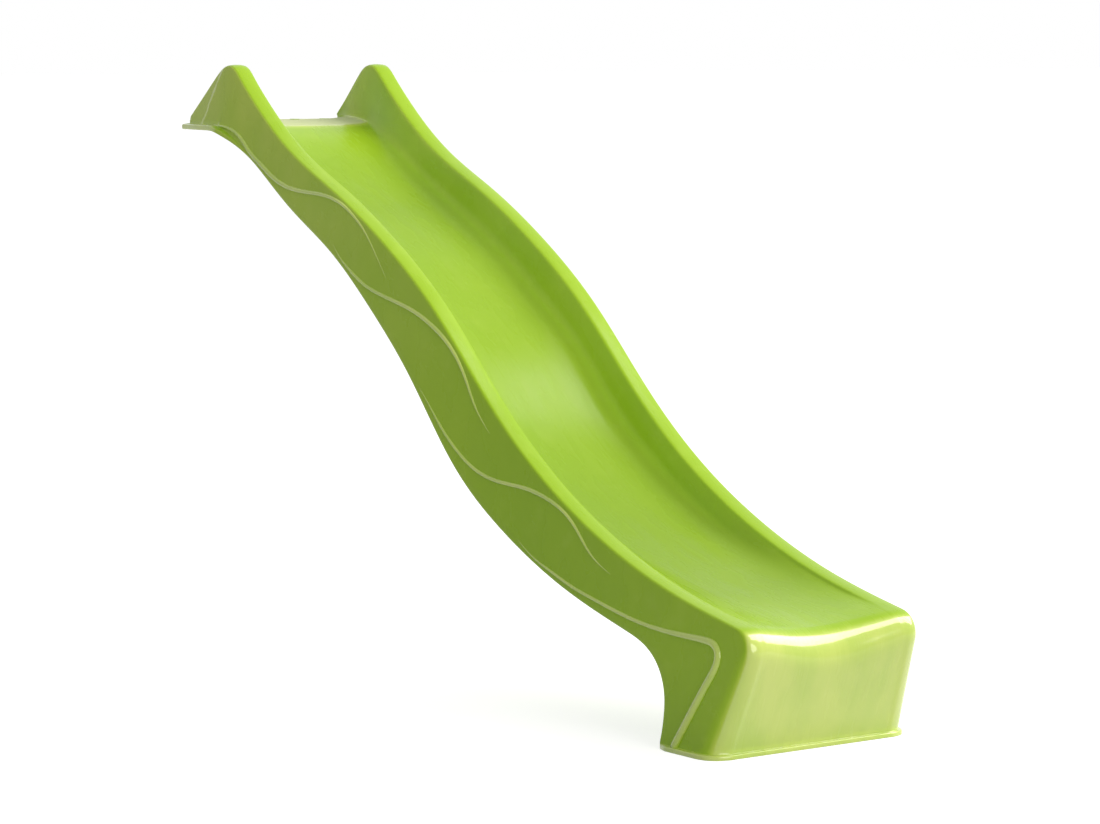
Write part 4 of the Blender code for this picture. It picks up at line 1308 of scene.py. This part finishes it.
def add_slide():
    """The two skins and the fixings of the lip, in their plastics and steel."""
    shell_plastic = moulded_plastic("lime_plastic", SHELL_COLOUR, SHELL_PALE, SHELL_GLOSS)
    under_plastic = moulded_plastic("underside_lime", SHELL_COLOUR, SHELL_PALE, UNDER_GLOSS)
    bush_plastic = moulded_plastic("bush_lime", BUSH_COLOUR, SHELL_COLOUR, UNDER_GLOSS)
    steel = brushed_steel("stainless_steel")
    add_shell(shell_plastic)
    add_underside(under_plastic)
    add_fixings(bush_plastic, steel)


def add_camera():
    """The photo's camera: yaw is turned left of +Y, pitch is downward."""
    yaw = math.radians(CAMERA_YAW)
    pitch = math.radians(CAMERA_PITCH)
    roll = math.radians(CAMERA_ROLL)
    flat = math.cos(pitch)
    ahead = Vector((-math.sin(yaw) * flat, math.cos(yaw) * flat, -math.sin(pitch)))
    level_right = Vector((math.cos(yaw), math.sin(yaw), 0.0))
    above = level_right.cross(ahead)
    right = level_right * math.cos(roll) + above * math.sin(roll)
    up = above * math.cos(roll) - level_right * math.sin(roll)
    data = bpy.data.cameras.new("camera")
    data.lens = CAMERA_LENS
    data.clip_end = 2 * FLOOR_SIZE
    camera = placed("camera", data)
    heading = Matrix((right, up, -ahead)).transposed().to_4x4()
    camera.matrix_world = Matrix.Translation(CAMERA_AT) @ heading
    bpy.context.scene.camera = camera


def seen_directly(tree):
    """1 for rays from the camera and in reflections, 0 for those that only light the scene."""
    path = add_node(tree, "LightPath").outputs
    either = combined(tree, "MAXIMUM", path["Is Camera Ray"], path["Is Glossy Ray"])
    return combined(tree, "MAXIMUM", either, path["Is Transmission Ray"])


def add_fill():
    """A wide soft distant lamp from the foot's end."""
    light = bpy.data.lights.new("fill", "SUN")
    light.energy = FILL_STRENGTH
    light.angle = math.radians(FILL_ANGLE)
    light.color = LIGHT_COLOUR
    lamp = placed("fill", light)
    lamp.rotation_euler = (-Vector(FILL_FROM)).to_track_quat("-Z", "Y").to_euler()


def add_key():
    """A long soft box high behind the slide, turned so that its length runs along X."""
    box = bpy.data.lights.new("key", "AREA")
    box.shape = "RECTANGLE"
    box.size = KEY_LENGTH
    box.size_y = KEY_WIDTH
    box.energy = KEY_POWER
    box.color = LIGHT_COLOUR
    toward = Vector(KEY_FROM).normalized()
    length = Vector((toward.z, 0.0, -toward.x)).normalized()
    axes = Matrix((length, toward.cross(length), toward)).transposed().to_4x4()
    lamp = placed("key", box)
    lamp.matrix_world = Matrix.Translation(Vector(KEY_AIM) + KEY_DISTANCE * toward) @ axes
    lamp.visible_camera = False


def add_floor():
    """A plain pale floor that keeps the slide's shadow and looks white."""
    bpy.ops.mesh.primitive_plane_add(size=FLOOR_SIZE)
    floor = bpy.context.object
    floor.name = "floor"
    paint, tree, shader = new_material("floor")
    shader.inputs["Base Color"].default_value = (FLOOR_GREY, FLOOR_GREY, FLOOR_GREY, 1.0)
    shader.inputs["Roughness"].default_value = 1.0
    shader.inputs["Specular IOR Level"].default_value = 0.0
    shader.inputs["Emission Color"].default_value = (1.0, 1.0, 1.0, 1.0)
    glow = combined(tree, "MULTIPLY", seen_directly(tree), FLOOR_SEEN)
    tree.links.new(glow, shader.inputs["Emission Strength"])
    floor.data.materials.append(paint)


def add_surroundings():
    """White where the camera sees them, and a soft light that grows towards the zenith."""
    world = bpy.data.worlds.new("world")
    bpy.context.scene.world = world
    world.use_nodes = True
    tree = world.node_tree
    background = tree.nodes["Background"]
    background.inputs["Color"].default_value = (1.0, 1.0, 1.0, 1.0)
    place = add_node(tree, "TexCoord")
    split = add_node(tree, "SeparateXYZ")
    tree.links.new(place.outputs["Generated"], split.inputs["Vector"])
    sky = remap(tree, split.outputs["Z"], 0.0, 1.0, HORIZON_LIGHT, ZENITH_LIGHT)
    seen = add_node(tree, "MapRange", {"To Max": 1.0})
    tree.links.new(seen_directly(tree), seen.inputs["Value"])
    tree.links.new(sky, seen.inputs["To Min"])
    tree.links.new(seen.outputs["Result"], background.inputs["Strength"])


RIMS, FLOORS, LOWERS, NORMALS, DOWNS, FOOT_CORNER = stations()
STYLES = edge_styles()
add_camera()
add_floor()
add_surroundings()
add_key()
add_fill()
add_slide()
bpy.context.scene.view_settings.view_transform = "Standard"
